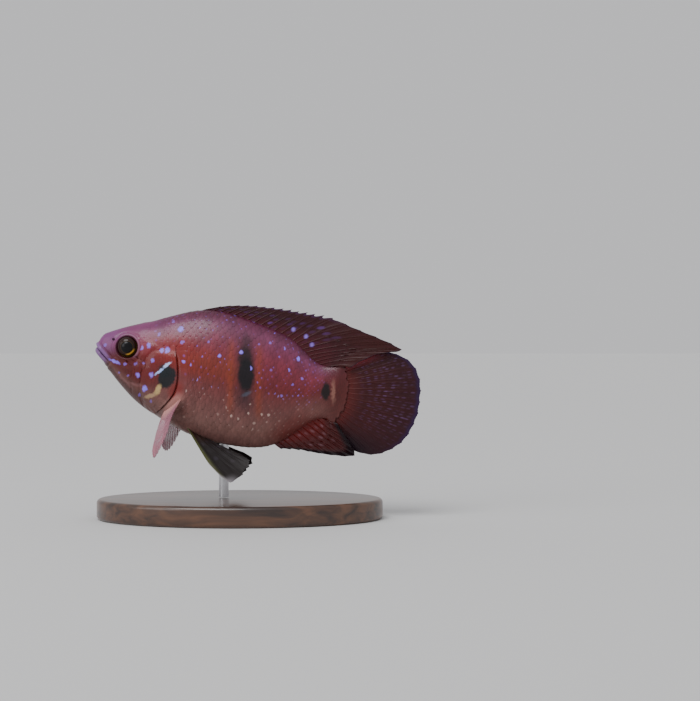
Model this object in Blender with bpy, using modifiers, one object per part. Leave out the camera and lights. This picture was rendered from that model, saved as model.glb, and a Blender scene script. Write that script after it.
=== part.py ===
"""A balloon red jewel cichlid, life size, as a still model on a plain stand.

The fish is modelled straight, in its own body frame, and posed at the end. In the body frame
x runs from the snout tip to the tail, y from its left side to its right, and z up from the
line that joins the snout tip to the middle of the tail fin's base. The row frame has its
origin under the middle of the stand's base, +Z up, with the fish's head towards -X and its
left side towards -Y.
"""

import math
import random

import bmesh
import bpy
import numpy as np
from mathutils import Matrix, Vector

MM = 0.001
GAP = 0.3 * MM
MERGE = 0.01 * MM

# Driving sizes of the fish: without its tail fin it is 59 mm long, and 80 mm with it.
STANDARD_LENGTH = 58.6 * MM
NOSE_ROUND = 1.6 * MM
PITCH = math.radians(11)
TAIL_SWEEP = -3.0 * MM
SWEEP_FROM = 24 * MM
SWEEP_LENGTH = 56 * MM

# Outlines of the body in millimetres from the snout tip: the height of the back and belly
# lines, half the width, and the height at which each section is widest.
BACK = ((0, 2.9), (4.4, 5.4), (13.6, 9.6), (23.2, 13.7), (29, 14.3), (40, 12.8), (46.5, 11.0),
        (51, 8.2), (54.5, 6.3), (58.8, 6.9))
BELLY = ((0, -1.3), (5.8, -6.6), (12.2, -11.4), (18.6, -14.2), (27, -16.8), (36, -17.4),
         (43.5, -16.6), (48, -14.5), (53.5, -9.3), (56.5, -7.0), (58.8, -6.6))
HALF_WIDTH = ((0, 2.3), (4, 3.5), (9, 4.9), (15, 6.1), (22, 6.9), (30, 7.0), (38, 6.1), (45, 4.5),
              (51, 2.7), (58.8, 1.25))
WIDEST = ((0, 0.0), (6, -0.6), (16, -2.6), (28, -3.0), (44, -1.6), (58.8, 0.0))
# How square the upper and lower halves of a section are: 2 is an ellipse, less is more pointed.
BACK_FORM = ((0, 2.2), (12, 1.95), (26, 1.75), (50, 1.7), (58.8, 1.9))
BELLY_FORM = ((0, 2.2), (12, 1.85), (26, 2.1), (40, 2.0), (50, 1.7), (58.8, 1.9))
RING_POINTS = 34
RING_STEP = 1.75 * MM

# The gill opening, as how far back it lies at each height, and where the trunk ends.
GILL_LINE = ((-18, 13.4), (-15, 15.6), (-12, 18.2), (-8.5, 20.7), (-5.5, 21.5), (-1.5, 21.1),
             (3, 19.8), (8, 19.0), (17, 18.8))
GILL_PLACE = 19.0 * MM
GILL_BEND = 11 * MM
TRUNK_END = 53.4 * MM

# The gill cover: its front edge is given the same way, and it stands proud of the cheek.
COVER_FRONT = ((-13.4, 15.2), (-10, 13.4), (-5, 12.7), (0, 13.4), (3.2, 15.4))
COVER_PROUD = 0.35 * MM
COVER_DEPTH = 1.1 * MM
POCKET_DEPTH = COVER_DEPTH + GAP
COVER_REACH = (7 * MM, 28 * MM)
THROAT_HALF = 1.0 * MM

# The mouth runs back and down from the snout tip to the corner of the gape, and the lower
# jaw ends on a line from there to the throat.
MOUTH_FRONT = Vector((-1.0, 0.9)) * MM
MOUTH_CORNER = Vector((4.2, -3.1)) * MM
JAW_THROAT = Vector((8.6, -12.0)) * MM
LIP_RADIUS = 0.46 * MM
LIP_OFFSET = 0.62 * MM

EYE_CENTRE = Vector((7.8, 1.5)) * MM
EYE_RADIUS = 2.6 * MM
EYE_DEPTH = 1.9 * MM
EYE_PROUD = 0.6 * MM
ORBIT_RIM = 0.38 * MM
NOSTRIL_CENTRE = Vector((4.0, 2.7)) * MM
NOSTRIL_RADIUS = 0.34 * MM

# Fins: the membrane, how far a ray stands out of each face at its root, the fleshy flare of
# the root, and the tip. Each ray is a column of the fin's grid with one column on each side.
MEMBRANE = 0.5 * MM
RAY_RIDGE = 0.2 * MM
ROOT_FLARE = 0.45 * MM
TIP_THICKNESS = 0.3 * MM
# The soft ends of the back and anal fins lie folded over the tail fin's left side.
FOLD_SIDE = 1.3 * MM
RAY_SIDE = 0.24
ROOT_SUNK = 0.5 * MM
FIN_ROWS = (0.0, 0.07, 0.2, 0.4, 0.62, 0.82, 1.0)

BASE_SIZE = Vector((70, 42, 5)) * MM
BASE_BEVEL = 1.0 * MM
ROD_RADIUS = 1.2 * MM
ROD_FORWARD = 4 * MM
ROD_UNDER = 35 * MM
SNOUT_HEIGHT = 42 * MM

draw = random.Random(11)


def spline(points, scale=MM):
    """A smooth curve through (place, value) points: places in millimetres, read in metres."""
    place, value = np.array(points, float).T
    place, value = place * MM, value * scale
    step = np.diff(place)
    rise = np.diff(value) / step
    size = len(place)
    matrix = np.eye(size)
    right = np.zeros(size)
    for i in range(1, size - 1):
        matrix[i, i - 1:i + 2] = step[i - 1], 2 * (step[i - 1] + step[i]), step[i]
        right[i] = 6 * (rise[i] - rise[i - 1])
    bend = np.linalg.solve(matrix, right)

    def at(x):
        i = int(np.clip(np.searchsorted(place, x) - 1, 0, size - 2))
        after, before = x - place[i], place[i + 1] - x
        h = step[i]
        return float(
            (bend[i] * before**3 + bend[i + 1] * after**3) / (6 * h)
            + (value[i] / h - bend[i] * h / 6) * before
            + (value[i + 1] / h - bend[i + 1] * h / 6) * after
        )

    return at


back_line, belly_line = spline(BACK), spline(BELLY)
half_width, widest_height = spline(HALF_WIDTH), spline(WIDEST)
back_form, belly_form = spline(BACK_FORM, 1), spline(BELLY_FORM, 1)
gill_line, cover_front = spline(GILL_LINE), spline(COVER_FRONT)


def levels(x, grow=0.0):
    """Top, bottom, widest height and half width of the section at x, grown by a skin depth."""
    ahead = max(0.0, 1 - x / NOSE_ROUND)
    nose = math.sqrt(max(0.0, 1 - ahead * ahead))
    top = back_line(x) * nose + grow
    bottom = belly_line(x) * nose - grow
    return top, bottom, widest_height(x) * nose, half_width(x) * nose + grow


def section_point(x, turn, grow=0.0):
    """A point of the body's skin, turn being the angle round the section from the right side."""
    top, bottom, middle, half = levels(x, grow)
    up = math.sin(turn) > 0
    power = 2 / (back_form(x) if up else belly_form(x))
    rise = (top - middle if up else bottom - middle) * abs(math.sin(turn)) ** power
    side = math.copysign(abs(math.cos(turn)) ** power, math.cos(turn))
    return Vector((x, half * side, middle + rise))


def side_of(x, z):
    """How far the skin stands from the middle plane at a place seen from the side."""
    top, bottom, middle, half = levels(x)
    up = z > middle
    form = back_form(x) if up else belly_form(x)
    share = min(1.0, abs(z - middle) / (top - middle if up else middle - bottom))
    return half * (1 - share**form) ** (1 / form)


def under_of(x, y):
    """The height of the belly's skin at a place seen from below."""
    _, bottom, middle, half = levels(x)
    form = belly_form(x)
    return middle + (bottom - middle) * (1 - min(1.0, abs(y) / half) ** form) ** (1 / form)


def seated(line, x):
    """Where a middle fin's ray starts: sunk a little below the back or belly line."""
    depth = ROOT_SUNK if line is back_line else -ROOT_SUNK
    return Vector((x, 0, line(x) - depth))


def collection_named(name):
    made = bpy.data.collections.new(name)
    bpy.context.scene.collection.children.link(made)
    return made


def clear_scene():
    for obj in list(bpy.data.objects):
        bpy.data.objects.remove(obj)


def material(name, colour, roughness, metallic=0.0):
    made = bpy.data.materials.new(name)
    made.use_nodes = True
    shader = made.node_tree.nodes["Principled BSDF"]
    shader.inputs["Base Color"].default_value = (*colour, 1)
    shader.inputs["Roughness"].default_value = roughness
    shader.inputs["Metallic"].default_value = metallic
    return made


def object_of(name, bm, home):
    """The bmesh as a new object in a collection."""
    mesh = bpy.data.meshes.new(name)
    bm.to_mesh(mesh)
    bm.free()
    obj = bpy.data.objects.new(name, mesh)
    home.objects.link(obj)
    return obj


def apply_modifiers(obj):
    graph = bpy.context.evaluated_depsgraph_get()
    mesh = bpy.data.meshes.new_from_object(obj.evaluated_get(graph))
    obj.modifiers.clear()
    obj.data = mesh


def merge_close(obj):
    """Merges the points that a Boolean leaves all but on one another."""
    bm = bmesh.new()
    bm.from_mesh(obj.data)
    bmesh.ops.remove_doubles(bm, verts=bm.verts, dist=MERGE)
    bmesh.ops.dissolve_degenerate(bm, edges=bm.edges, dist=MERGE)
    bm.to_mesh(obj.data)
    bm.free()


def boolean(obj, operation, cutter):
    """Cuts or joins a cutter into an object and removes the cutter."""
    modifier = obj.modifiers.new(operation.title(), "BOOLEAN")
    modifier.operation = operation
    modifier.object = cutter
    apply_modifiers(obj)
    bpy.data.objects.remove(cutter)
    merge_close(obj)


def fuse(obj, pieces):
    """Joins pieces into an object with one union and keeps its largest closed surface."""
    group = collection_named("pieces")
    for piece in pieces:
        group.objects.link(piece)
    modifier = obj.modifiers.new("Join", "BOOLEAN")
    modifier.operation = "UNION"
    modifier.operand_type = "COLLECTION"
    modifier.collection = group
    apply_modifiers(obj)
    for piece in pieces:
        bpy.data.objects.remove(piece)
    bpy.data.collections.remove(group)
    merge_close(obj)
    keep_largest(obj)


def keep_largest(obj):
    """Drops every loose surface but the one with the most faces."""
    bm = bmesh.new()
    bm.from_mesh(obj.data)
    left = set(bm.verts)
    shells = []
    while left:
        shell, front = set(), [left.pop()]
        while front:
            vert = front.pop()
            shell.add(vert)
            near = {edge.other_vert(vert) for edge in vert.link_edges} & left
            left -= near
            front.extend(near)
        shells.append(shell)
    shells.sort(key=len)
    for shell in shells[:-1]:
        bmesh.ops.delete(bm, geom=list(shell), context="VERTS")
    bm.to_mesh(obj.data)
    bm.free()


def nose_places():
    """Where the rings of the rounded nose lie."""
    steps = 4
    turns = (math.pi / 2 * (k + 0.35) / steps for k in range(steps))
    return [NOSE_ROUND * (1 - math.cos(turn)) for turn in turns]


def bent(place, height):
    """Moves a ring's point along the body, so that the ring at GILL_PLACE is the gill line."""
    away = (place - GILL_PLACE) / GILL_BEND
    share = max(0.0, 1 - away * away) ** 2
    return place + share * (gill_line(height) - GILL_PLACE)


def ring(place, grow, bend):
    """The points of one section from the middle of the back round the left side."""
    points = []
    for k in range(RING_POINTS):
        turn = math.pi / 2 + math.tau * k / RING_POINTS
        x = place
        for _ in range(5 if bend else 0):
            x = bent(place, section_point(x, turn, grow).z)
        points.append(section_point(x, turn, grow))
    return points


def cap(bm, verts):
    """Closes a ring with strips from side to side, so that a bent ring's end follows its bend."""
    for k in range(RING_POINTS // 2):
        corners = (verts[k], verts[k + 1], verts[-k - 1], verts[-k])
        bm.faces.new(dict.fromkeys(corners))


def loft_body(name, home, grow=0.0, low=NOSE_ROUND, high=STANDARD_LENGTH, bend=False):
    """A length of the body without fins: from NOSE_ROUND back it takes in the nose too."""
    places = nose_places() if low == NOSE_ROUND else []
    places += list(np.linspace(low, high, round((high - low) / RING_STEP) + 1))
    bm = bmesh.new()
    rings = [[bm.verts.new(p) for p in ring(place, grow, bend)] for place in places]
    for front, rear in zip(rings, rings[1:]):
        for k in range(RING_POINTS):
            bm.faces.new((front[k - 1], front[k], rear[k], rear[k - 1]))
    cap(bm, rings[0])
    cap(bm, rings[-1])
    bmesh.ops.recalc_face_normals(bm, faces=bm.faces)
    return object_of(name, bm, home)


def prism(name, outline, low, high, home):
    """A solid of an outline seen from the fish's side, from one depth to another."""
    bm = bmesh.new()
    face = bm.faces.new([bm.verts.new((x, low, z)) for x, z in outline])
    grown = bmesh.ops.extrude_face_region(bm, geom=[face])
    moved = [item for item in grown["geom"] if isinstance(item, bmesh.types.BMVert)]
    bmesh.ops.translate(bm, verts=moved, vec=(0, high - low, 0))
    bmesh.ops.recalc_face_normals(bm, faces=bm.faces)
    obj = object_of(name, bm, home)
    obj.hide_render = True
    obj.display_type = "WIRE"
    return obj


def gill_edge(shift, low=-18 * MM, high=17 * MM):
    """Points down the gill opening, moved square to it by a shift towards the tail."""
    points = []
    small = 0.2 * MM
    for z in np.linspace(high, low, 22):
        slope = (gill_line(z + small) - gill_line(z - small)) / (2 * small)
        out = Vector((1, -slope)).normalized() * shift
        points.append(Vector((gill_line(z) + out.x, z + out.y)))
    return points


def cover_outline(grow):
    """The outline of a gill cover: down its rear edge and up its front one."""
    top, foot = COVER_FRONT[-1][0] * MM + grow, COVER_FRONT[0][0] * MM - grow
    rear = gill_edge(-GAP / 2 + 2 * grow, foot, top)
    front = [Vector((cover_front(z) - grow, z)) for z in np.linspace(foot, top, 11)]
    return rear + front


def mouth_side(distance):
    """The two ends of the mouth line, moved square to it, upwards if positive."""
    along = (MOUTH_CORNER - MOUTH_FRONT).normalized()
    out = Vector((-along.y, along.x)) * distance
    return MOUTH_FRONT + out, MOUTH_CORNER + out


def jaw_outline(grow):
    """The outline of the lower jaw, made larger by a distance on the sides that meet the head."""
    front, corner = mouth_side(grow)
    behind = Vector((grow, 0))
    return [front, corner + behind, JAW_THROAT + behind, Vector((-2 * MM, JAW_THROAT.y))]


def lip(name, offset, home):
    """A lip: a tapered roll round the snout, along the mouth line and just off it."""
    front, corner = mouth_side(offset)
    curve = bpy.data.curves.new(name, "CURVE")
    curve.dimensions = "3D"
    curve.bevel_depth = LIP_RADIUS
    curve.bevel_resolution = 1
    curve.use_fill_caps = True
    path = curve.splines.new("POLY")
    steps = 16
    path.points.add(steps)
    slope = (corner.y - front.y) / (corner.x - front.x)
    places = np.arange(0.02, 2, 0.02) * MM
    tip = next(x for x in places if side_of(x, front.y + slope * (x - front.x)) > 0.3 * MM)
    for k, turn in enumerate(np.linspace(-math.pi / 2, math.pi / 2, steps + 1)):
        x = tip + (corner.x - 0.3 * MM - tip) * (1 - math.cos(turn))
        z = front.y + slope * (x - front.x)
        reach = side_of(x, z) - 0.15 * MM
        path.points[k].co = (x, math.copysign(reach, turn) if k != steps / 2 else 0, z, 1)
        path.points[k].radius = 0.45 + 0.55 * math.cos(turn) ** 0.5
    tube = bpy.data.objects.new(name, curve)
    home.objects.link(tube)
    graph = bpy.context.evaluated_depsgraph_get()
    mesh = bpy.data.meshes.new_from_object(tube.evaluated_get(graph))
    bpy.data.objects.remove(tube)
    bm = bmesh.new()
    bm.from_mesh(mesh)
    bmesh.ops.remove_doubles(bm, verts=bm.verts, dist=0.005 * MM)
    bmesh.ops.recalc_face_normals(bm, faces=bm.faces)
    return object_of(name, bm, home)


def eye_middle(side):
    """The middle of an eyeball, sunk so that it stands proud of the cheek by its named size."""
    reach = side_of(EYE_CENTRE.x, EYE_CENTRE.y) + EYE_PROUD - EYE_DEPTH
    return Vector((EYE_CENTRE.x, side * reach, EYE_CENTRE.y))


def ball(name, centre, radius, depth, home, across=18, along=10):
    """A ball flattened along the fish's width, with its poles facing out."""
    bm = bmesh.new()
    bmesh.ops.create_uvsphere(bm, u_segments=across, v_segments=along, radius=1)
    place = Matrix.Translation(centre) @ Matrix.Diagonal((radius, depth, radius, 1))
    bmesh.ops.transform(bm, matrix=place @ Matrix.Rotation(math.pi / 2, 4, "X"), verts=bm.verts)
    return object_of(name, bm, home)


def orbit_rim(name, side, home):
    """The low ring of skin round an eye, lying on the slope of the cheek."""
    small = 0.5 * MM
    x, z = EYE_CENTRE
    along = (side_of(x + small, z) - side_of(x - small, z)) / (2 * small)
    up = (side_of(x, z + small) - side_of(x, z - small)) / (2 * small)
    out = Vector((-along, side, -up)).normalized()
    ring = EYE_RADIUS + ORBIT_RIM * 0.55
    centre = Vector((x, side * (side_of(x, z) - 0.12 * MM), z))
    bpy.ops.mesh.primitive_torus_add(
        major_segments=22, minor_segments=6, major_radius=ring, minor_radius=ORBIT_RIM,
        location=centre, rotation=out.to_track_quat("Z", "Y").to_euler())
    obj = bpy.context.active_object
    obj.name = name
    for owner in list(obj.users_collection):
        owner.objects.unlink(obj)
    home.objects.link(obj)
    return obj


def make_head(home, cutters):
    """The head in front of the gill opening, with its upper lip, eye rims and nostrils."""
    head = loft_body("head", home, high=GILL_PLACE - GAP / 2, bend=True)
    far = 20 * MM
    boolean(head, "DIFFERENCE", prism("jaw_room", jaw_outline(GAP / 2), -far, far, cutters))
    pieces = [lip("upper_lip", LIP_OFFSET, home)]
    pieces += [orbit_rim(f"orbit_{side}", side, home) for side in (-1, 1)]
    fuse(head, pieces)
    for side in (-1, 1):
        low, high = sorted((side * (THROAT_HALF - GAP), side * far))
        room = prism("pocket", cover_outline(GAP), low, high, cutters)
        boolean(room, "DIFFERENCE", loft_body("floor", cutters, -POCKET_DEPTH, *COVER_REACH))
        boolean(head, "DIFFERENCE", room)
        socket = ball("socket", eye_middle(side), EYE_RADIUS + GAP, EYE_DEPTH + GAP, cutters)
        boolean(head, "DIFFERENCE", socket)
        x, z = NOSTRIL_CENTRE
        mouth = Vector((x, side * (side_of(x, z) + 0.05 * MM), z))
        pit = ball("nostril", mouth, NOSTRIL_RADIUS, 2 * NOSTRIL_RADIUS, cutters, 10, 6)
        boolean(head, "DIFFERENCE", pit)
    keep_largest(head)
    return head


def make_lower_jaw(home, cutters):
    jaw = loft_body("lower_jaw", home, high=JAW_THROAT.x + 4 * MM)
    far = 20 * MM
    boolean(jaw, "INTERSECT", prism("jaw", jaw_outline(-GAP / 2), -far, far, cutters))
    fuse(jaw, [lip("lower_lip", -LIP_OFFSET, home)])
    return jaw


def make_gill_cover(name, side, home, cutters):
    """A curved plate that stands proud of the cheek and ends at the gill opening."""
    cover = loft_body(name, home, COVER_PROUD, *COVER_REACH)
    low, high = sorted((side * THROAT_HALF, side * 20 * MM))
    boolean(cover, "INTERSECT", prism("cover", cover_outline(0), low, high, cutters))
    boolean(cover, "DIFFERENCE", loft_body("inside", cutters, -COVER_DEPTH, *COVER_REACH))
    keep_largest(cover)
    return cover


def make_trunk(home):
    """The body from the gill opening to the tail stalk."""
    return loft_body(
        "trunk", home, low=GILL_PLACE + GAP / 2, high=TRUNK_END - GAP / 2, bend=True)


def make_eye(name, side, home):
    return ball(name, eye_middle(side), EYE_RADIUS, EYE_DEPTH, home)


def in_body(point):
    """Whether a point is nearer to the body than the gap that a fin's root keeps from it."""
    if not 0 < point.x < STANDARD_LENGTH:
        return False
    top, bottom, middle, half = levels(point.x, GAP)
    up = point.z > middle
    form = back_form(point.x) if up else belly_form(point.x)
    height = (point.z - middle) / ((top if up else bottom) - middle)
    return abs(height) ** form + abs(point.y / half) ** form < 1


def ray_point(root, tip, bow, share):
    """A point of a bowed ray, at a share of its length."""
    return root.lerp(tip, share) + bow * (tip - root).length * 4 * share * (1 - share)


def leaving_share(root, tip, bow, push):
    """The share of its length at which a ray's face, a push aside of the ray, leaves the body."""
    if not in_body(root + push):
        return 0.0
    low, high = 0.0, 0.7
    for _ in range(16):
        share = (low + high) / 2
        if in_body(ray_point(root, tip, bow, share) + push):
            low = share
        else:
            high = share
    return high


def fin(name, roots, tips, bow, notches, home):
    """A ribbed fin: a thin membrane with a ridge along each ray, as one closed solid.

    roots and tips are the ends of its rays, bow how far a ray's middle is pushed out as a
    share of its length, and notches how deep the edge is cut between a ray and the next.
    Each face starts where it leaves the body, so that the root follows the body's form, and
    on a middle fin not before the ray itself leaves the ridge that it stands on.
    """
    columns, ridges = [], []
    for i in range(len(roots) - 1):
        for share in (0.0, RAY_SIDE, 1 - RAY_SIDE):
            root = roots[i].lerp(roots[i + 1], share)
            tip = tips[i].lerp(tips[i + 1], share)
            back = notches[i] if share else 0.0
            columns.append((root, tip.lerp(root, back)))
            ridges.append(0.0 if share else 1.0)
    columns.append((roots[-1], tips[-1]))
    ridges.append(1.0)
    grid = np.array([[ray_point(*ends, bow, t) for t in FIN_ROWS] for ends in columns])
    out = np.cross(np.gradient(grid, axis=0), np.gradient(grid, axis=1))
    out /= np.linalg.norm(out, axis=2, keepdims=True)
    t = np.array(FIN_ROWS)
    membrane = MEMBRANE + (TIP_THICKNESS - MEMBRANE) * np.clip((t - 0.8) / 0.2, 0, 1)
    flare = ROOT_FLARE * np.clip(1 - t / 0.2, 0, 1) ** 2
    half = (membrane + flare) / 2 + np.outer(ridges, RAY_RIDGE * (1 - 0.85 * t))
    bm = bmesh.new()
    upper, lower = [], []
    for sheet, side in ((upper, 1), (lower, -1)):
        for i, (root, tip) in enumerate(columns):
            pushes = [Vector(row) for row in out[i] * half[i][:, None] * side]
            start = leaving_share(root, tip, bow, pushes[0])
            if root.y == 0:
                start = max(start, leaving_share(root, tip, bow, Vector()))
            shares = start + (1 - start) * t
            points = (ray_point(root, tip, bow, s) + push for s, push in zip(shares, pushes))
            sheet.append([bm.verts.new(point) for point in points])
    last, end = len(columns) - 1, len(FIN_ROWS) - 1
    for i in range(last):
        for j in range(end):
            for sheet, turn in ((upper, 1), (lower, -1)):
                a, b = sheet[i][j], sheet[i + 1][j]
                c, d = sheet[i + 1][j + 1], sheet[i][j + 1]
                bm.faces.new((a, b, c)[::turn])
                bm.faces.new((a, c, d)[::turn])
    rim = [(i, 0) for i in range(last)] + [(last, j) for j in range(end)]
    rim += [(i, end) for i in range(last, 0, -1)] + [(0, j) for j in range(end, 0, -1)]
    for (i, j), (m, n) in zip(rim, rim[1:] + rim[:1]):
        bm.faces.new((upper[i][j], lower[i][j], lower[m][n]))
        bm.faces.new((upper[i][j], lower[m][n], upper[m][n]))
    bmesh.ops.recalc_face_normals(bm, faces=bm.faces)
    return object_of(name, bm, home)


def varied(length):
    """A ray's length with the small unevenness of real rays."""
    return length * (1 + draw.uniform(-0.02, 0.02))


def make_dorsal_fin(home):
    """Fourteen raked spines, half folded along the back, then ten soft rays in a long point."""
    spines, softs = 14, 10
    roots, tips, notches = [], [], []
    for k in range(spines):
        share = k / (spines - 1)
        root = seated(back_line, (22.2 + 23.0 * share) * MM)
        rake = math.radians(28 + 14 * share)
        length = varied((3.5 + 7.2 * share**0.8) * MM)
        roots.append(root)
        tips.append(root + Vector((math.cos(rake), 0, math.sin(rake))) * length)
        notches.append(0.16)
    # The soft lobe's edge in millimetres: over the top to its point, then back to the stalk.
    lobe_x = spline(((0, 55.4), (2, 62.6), (4, 70.6), (5, 73.4), (7, 68.2), (9, 61.6)))
    lobe_z = spline(((0, 18.0), (2, 16.3), (4, 14.6), (5, 13.6), (7, 11.9), (9, 8.3)))
    for k in range(softs):
        root = seated(back_line, (46.6 + 0.86 * k) * MM)
        roots.append(root)
        tips.append(Vector((lobe_x(k * MM), 0, lobe_z(k * MM))))
        notches.append(0.02)
    for k, tip in enumerate(tips[spines:]):
        tip.y = -FOLD_SIDE * math.sin(math.pi / 2 * min(1, k / 4))
    return fin("dorsal_fin", roots, tips, Vector((0, 0, 0.04)), notches, home)


def make_anal_fin(home):
    """Three short strong spines, then eight soft rays folded back along the stalk."""
    reach_x = spline(((0, 49.2), (2, 53.6), (5, 61.4), (7, 67.0), (8, 66.6), (10, 61.4)))
    reach_z = spline(((0, -15.9), (2, -15.3), (5, -14.9), (7, -13.9), (8, -12.7), (10, -7.9)))
    roots, tips = [], []
    for k in range(11):
        sway = -FOLD_SIDE * math.sin(math.pi / 2 * min(1, k / 6))
        roots.append(seated(belly_line, (46.8 + 1.02 * k) * MM))
        tips.append(Vector((reach_x(k * MM), sway, reach_z(k * MM))))
    notches = [0.14, 0.14, 0.1] + [0.02] * 8
    return fin("anal_fin", roots, tips, Vector((0, 0, -0.03)), notches, home)


def make_tail_fin(home):
    """A round fan of eighteen rays from the end of the tail stalk."""
    reach = spline(((-62, 14.6), (-48, 17.7), (-36, 19.6), (-20, 21.2), (0, 21.6), (19, 21.8),
                    (30, 21.2), (40, 19.1), (53, 15.6), (65, 12.4)))
    rays, base_half = 18, 6.5 * MM
    roots, tips = [], []
    for k in range(rays):
        share = k / (rays - 1)
        angle = -62 + 127 * share
        root = Vector((STANDARD_LENGTH + GAP, 0, base_half * (2 * share - 1)))
        length = varied(reach(angle * MM))
        turn = math.radians(angle)
        cup = 0.8 * MM * (2 * share - 1) ** 2
        roots.append(root)
        tips.append(Vector((root.x + length * math.cos(turn), cup, length * math.sin(turn))))
    return fin("tail_fin", roots, tips, Vector((0, 0, 0)), [0.015] * rays, home)


def make_pelvic_fin(name, side, home):
    """A spine and five soft rays, spread below the breast with a long leading ray."""
    ends = ((33.0, 5.4, -22.6), (38.8, 6.6, -25.7), (41.4, 6.1, -23.3), (42.6, 5.3, -21.2),
            (42.2, 4.5, -19.7), (39.8, 3.6, -18.8))
    roots, tips = [], []
    for k, (x, y, z) in enumerate(ends):
        place = (25.2 + 0.6 * k) * MM
        width = (3.3 - 0.34 * k) * MM
        roots.append(Vector((place, side * width, under_of(place, width) + ROOT_SUNK)))
        tips.append(Vector((x, side * y, z)) * MM)
    notches = [0.0, 0.03, 0.03, 0.03, 0.03]
    return fin(name, roots, tips, Vector((0, 0, -0.02)), notches, home)


def make_pectoral_fin(name, side, home):
    """Ten soft rays from behind the gill cover, flared out and down to hold the fish still."""
    rays = 10
    reach_x = spline(((0, 20.7), (3, 20.1), (6, 19.8), (9, 20.0)))
    reach_y = spline(((0, 15.0), (3, 14.6), (6, 12.0), (9, 8.7)))
    reach_z = spline(((0, -16.0), (3, -20.4), (6, -22.9), (9, -21.8)))
    roots, tips = [], []
    for k in range(rays):
        share = k / (rays - 1)
        x, z = (22.9 - 1.6 * share) * MM, (-6.9 - 3.9 * share) * MM
        roots.append(Vector((x, side * (side_of(x, z) - ROOT_SUNK), z)))
        tips.append(Vector((reach_x(k * MM), side * reach_y(k * MM), reach_z(k * MM))))
    return fin(name, roots, tips, Vector((-0.04, 0, 0.03)), [0.02] * rays, home)


def posed(point):
    """A point of the straight body in the row frame, with the tail's sweep and the pitch."""
    along = min(1.2, max(0.0, (point.x - SWEEP_FROM) / SWEEP_LENGTH))
    straight = Vector((point.x, point.y + TAIL_SWEEP * along * along, point.z))
    turned = Matrix.Rotation(PITCH, 3, "Y") @ straight
    return turned + snout_place()


def snout_place():
    """Where the snout tip goes, so that the belly at ROD_UNDER is above the rod's foot."""
    over = Matrix.Rotation(PITCH, 3, "Y") @ Vector((ROD_UNDER, 0, belly_line(ROD_UNDER)))
    return Vector((-ROD_FORWARD - over.x, 0, SNOUT_HEIGHT))


def pose(obj):
    """Triangulates a piece of the fish and moves its points to the row frame."""
    bm = bmesh.new()
    bm.from_mesh(obj.data)
    bmesh.ops.transform(bm, matrix=obj.matrix_world, verts=bm.verts)
    bmesh.ops.triangulate(bm, faces=bm.faces)
    for vert in bm.verts:
        vert.co = posed(vert.co)
    bm.to_mesh(obj.data)
    bm.free()
    obj.matrix_world = Matrix.Identity(4)


def make_base(home):
    """A flat oval plate with a rounded top edge."""
    bm = bmesh.new()
    bmesh.ops.create_cone(bm, cap_ends=True, segments=48, radius1=0.5, radius2=0.5, depth=1)
    size = Matrix.Diagonal((*BASE_SIZE, 1))
    bmesh.ops.transform(bm, matrix=size @ Matrix.Translation((0, 0, 0.5)), verts=bm.verts)
    base = object_of("stand_base", bm, home)
    bevel = base.modifiers.new("Edge", "BEVEL")
    bevel.width = BASE_BEVEL
    bevel.segments = 2
    bevel.limit_method = "ANGLE"
    bevel.angle_limit = math.radians(50)
    return base


def make_rod(home, cutters):
    """A short upright rod from the base to the belly, its top shaped to the belly."""
    low, high = BASE_SIZE.z + GAP, SNOUT_HEIGHT - 10 * MM
    bpy.ops.mesh.primitive_cylinder_add(
        vertices=24, radius=ROD_RADIUS, depth=high - low,
        location=(-ROD_FORWARD, 0, (low + high) / 2))
    rod = bpy.context.active_object
    rod.name = "stand_rod"
    for owner in list(rod.users_collection):
        owner.objects.unlink(rod)
    home.objects.link(rod)
    belly = loft_body("belly", cutters, GAP)
    pose(belly)
    boolean(rod, "DIFFERENCE", belly)
    keep_largest(rod)
    return rod


def main():
    clear_scene()
    home = collection_named("balloon_jewel_cichlid")
    cutters = collection_named("cutters")
    flesh = material("red_flesh", (0.42, 0.075, 0.06), 0.42)
    web = material("red_fin", (0.24, 0.035, 0.035), 0.45)
    clear_web = material("pale_fin", (0.42, 0.2, 0.2), 0.45)
    ball_dark = material("eye", (0.03, 0.015, 0.012), 0.12)
    wood = material("dark_wood", (0.05, 0.028, 0.018), 0.4)
    steel = material("steel", (0.55, 0.55, 0.56), 0.3, 1.0)
    made = {
        flesh: [
            make_head(home, cutters),
            make_lower_jaw(home, cutters),
            make_gill_cover("gill_cover_left", -1, home, cutters),
            make_gill_cover("gill_cover_right", 1, home, cutters),
            make_trunk(home),
            loft_body("tail_stalk", home, low=TRUNK_END + GAP / 2),
        ],
        web: [
            make_dorsal_fin(home),
            make_anal_fin(home),
            make_tail_fin(home),
        ],
        clear_web: [
            make_pelvic_fin("pelvic_fin_left", -1, home),
            make_pelvic_fin("pelvic_fin_right", 1, home),
            make_pectoral_fin("pectoral_fin_left", -1, home),
            make_pectoral_fin("pectoral_fin_right", 1, home),
        ],
        ball_dark: [make_eye("eye_left", -1, home), make_eye("eye_right", 1, home)],
    }
    for finish, pieces in made.items():
        for piece in pieces:
            pose(piece)
            piece.data.materials.clear()
            piece.data.materials.append(finish)
            piece.data.shade_smooth()
            piece.data.set_sharp_from_angle(angle=math.radians(40))
    base = make_base(home)
    base.data.materials.append(wood)
    rod = make_rod(home, cutters)
    rod.data.materials.clear()
    rod.data.materials.append(steel)
    rod.data.shade_smooth()
    rod.data.set_sharp_from_angle(angle=math.radians(40))
    bpy.data.collections.remove(cutters)


main()
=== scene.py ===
import math
import random

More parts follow.
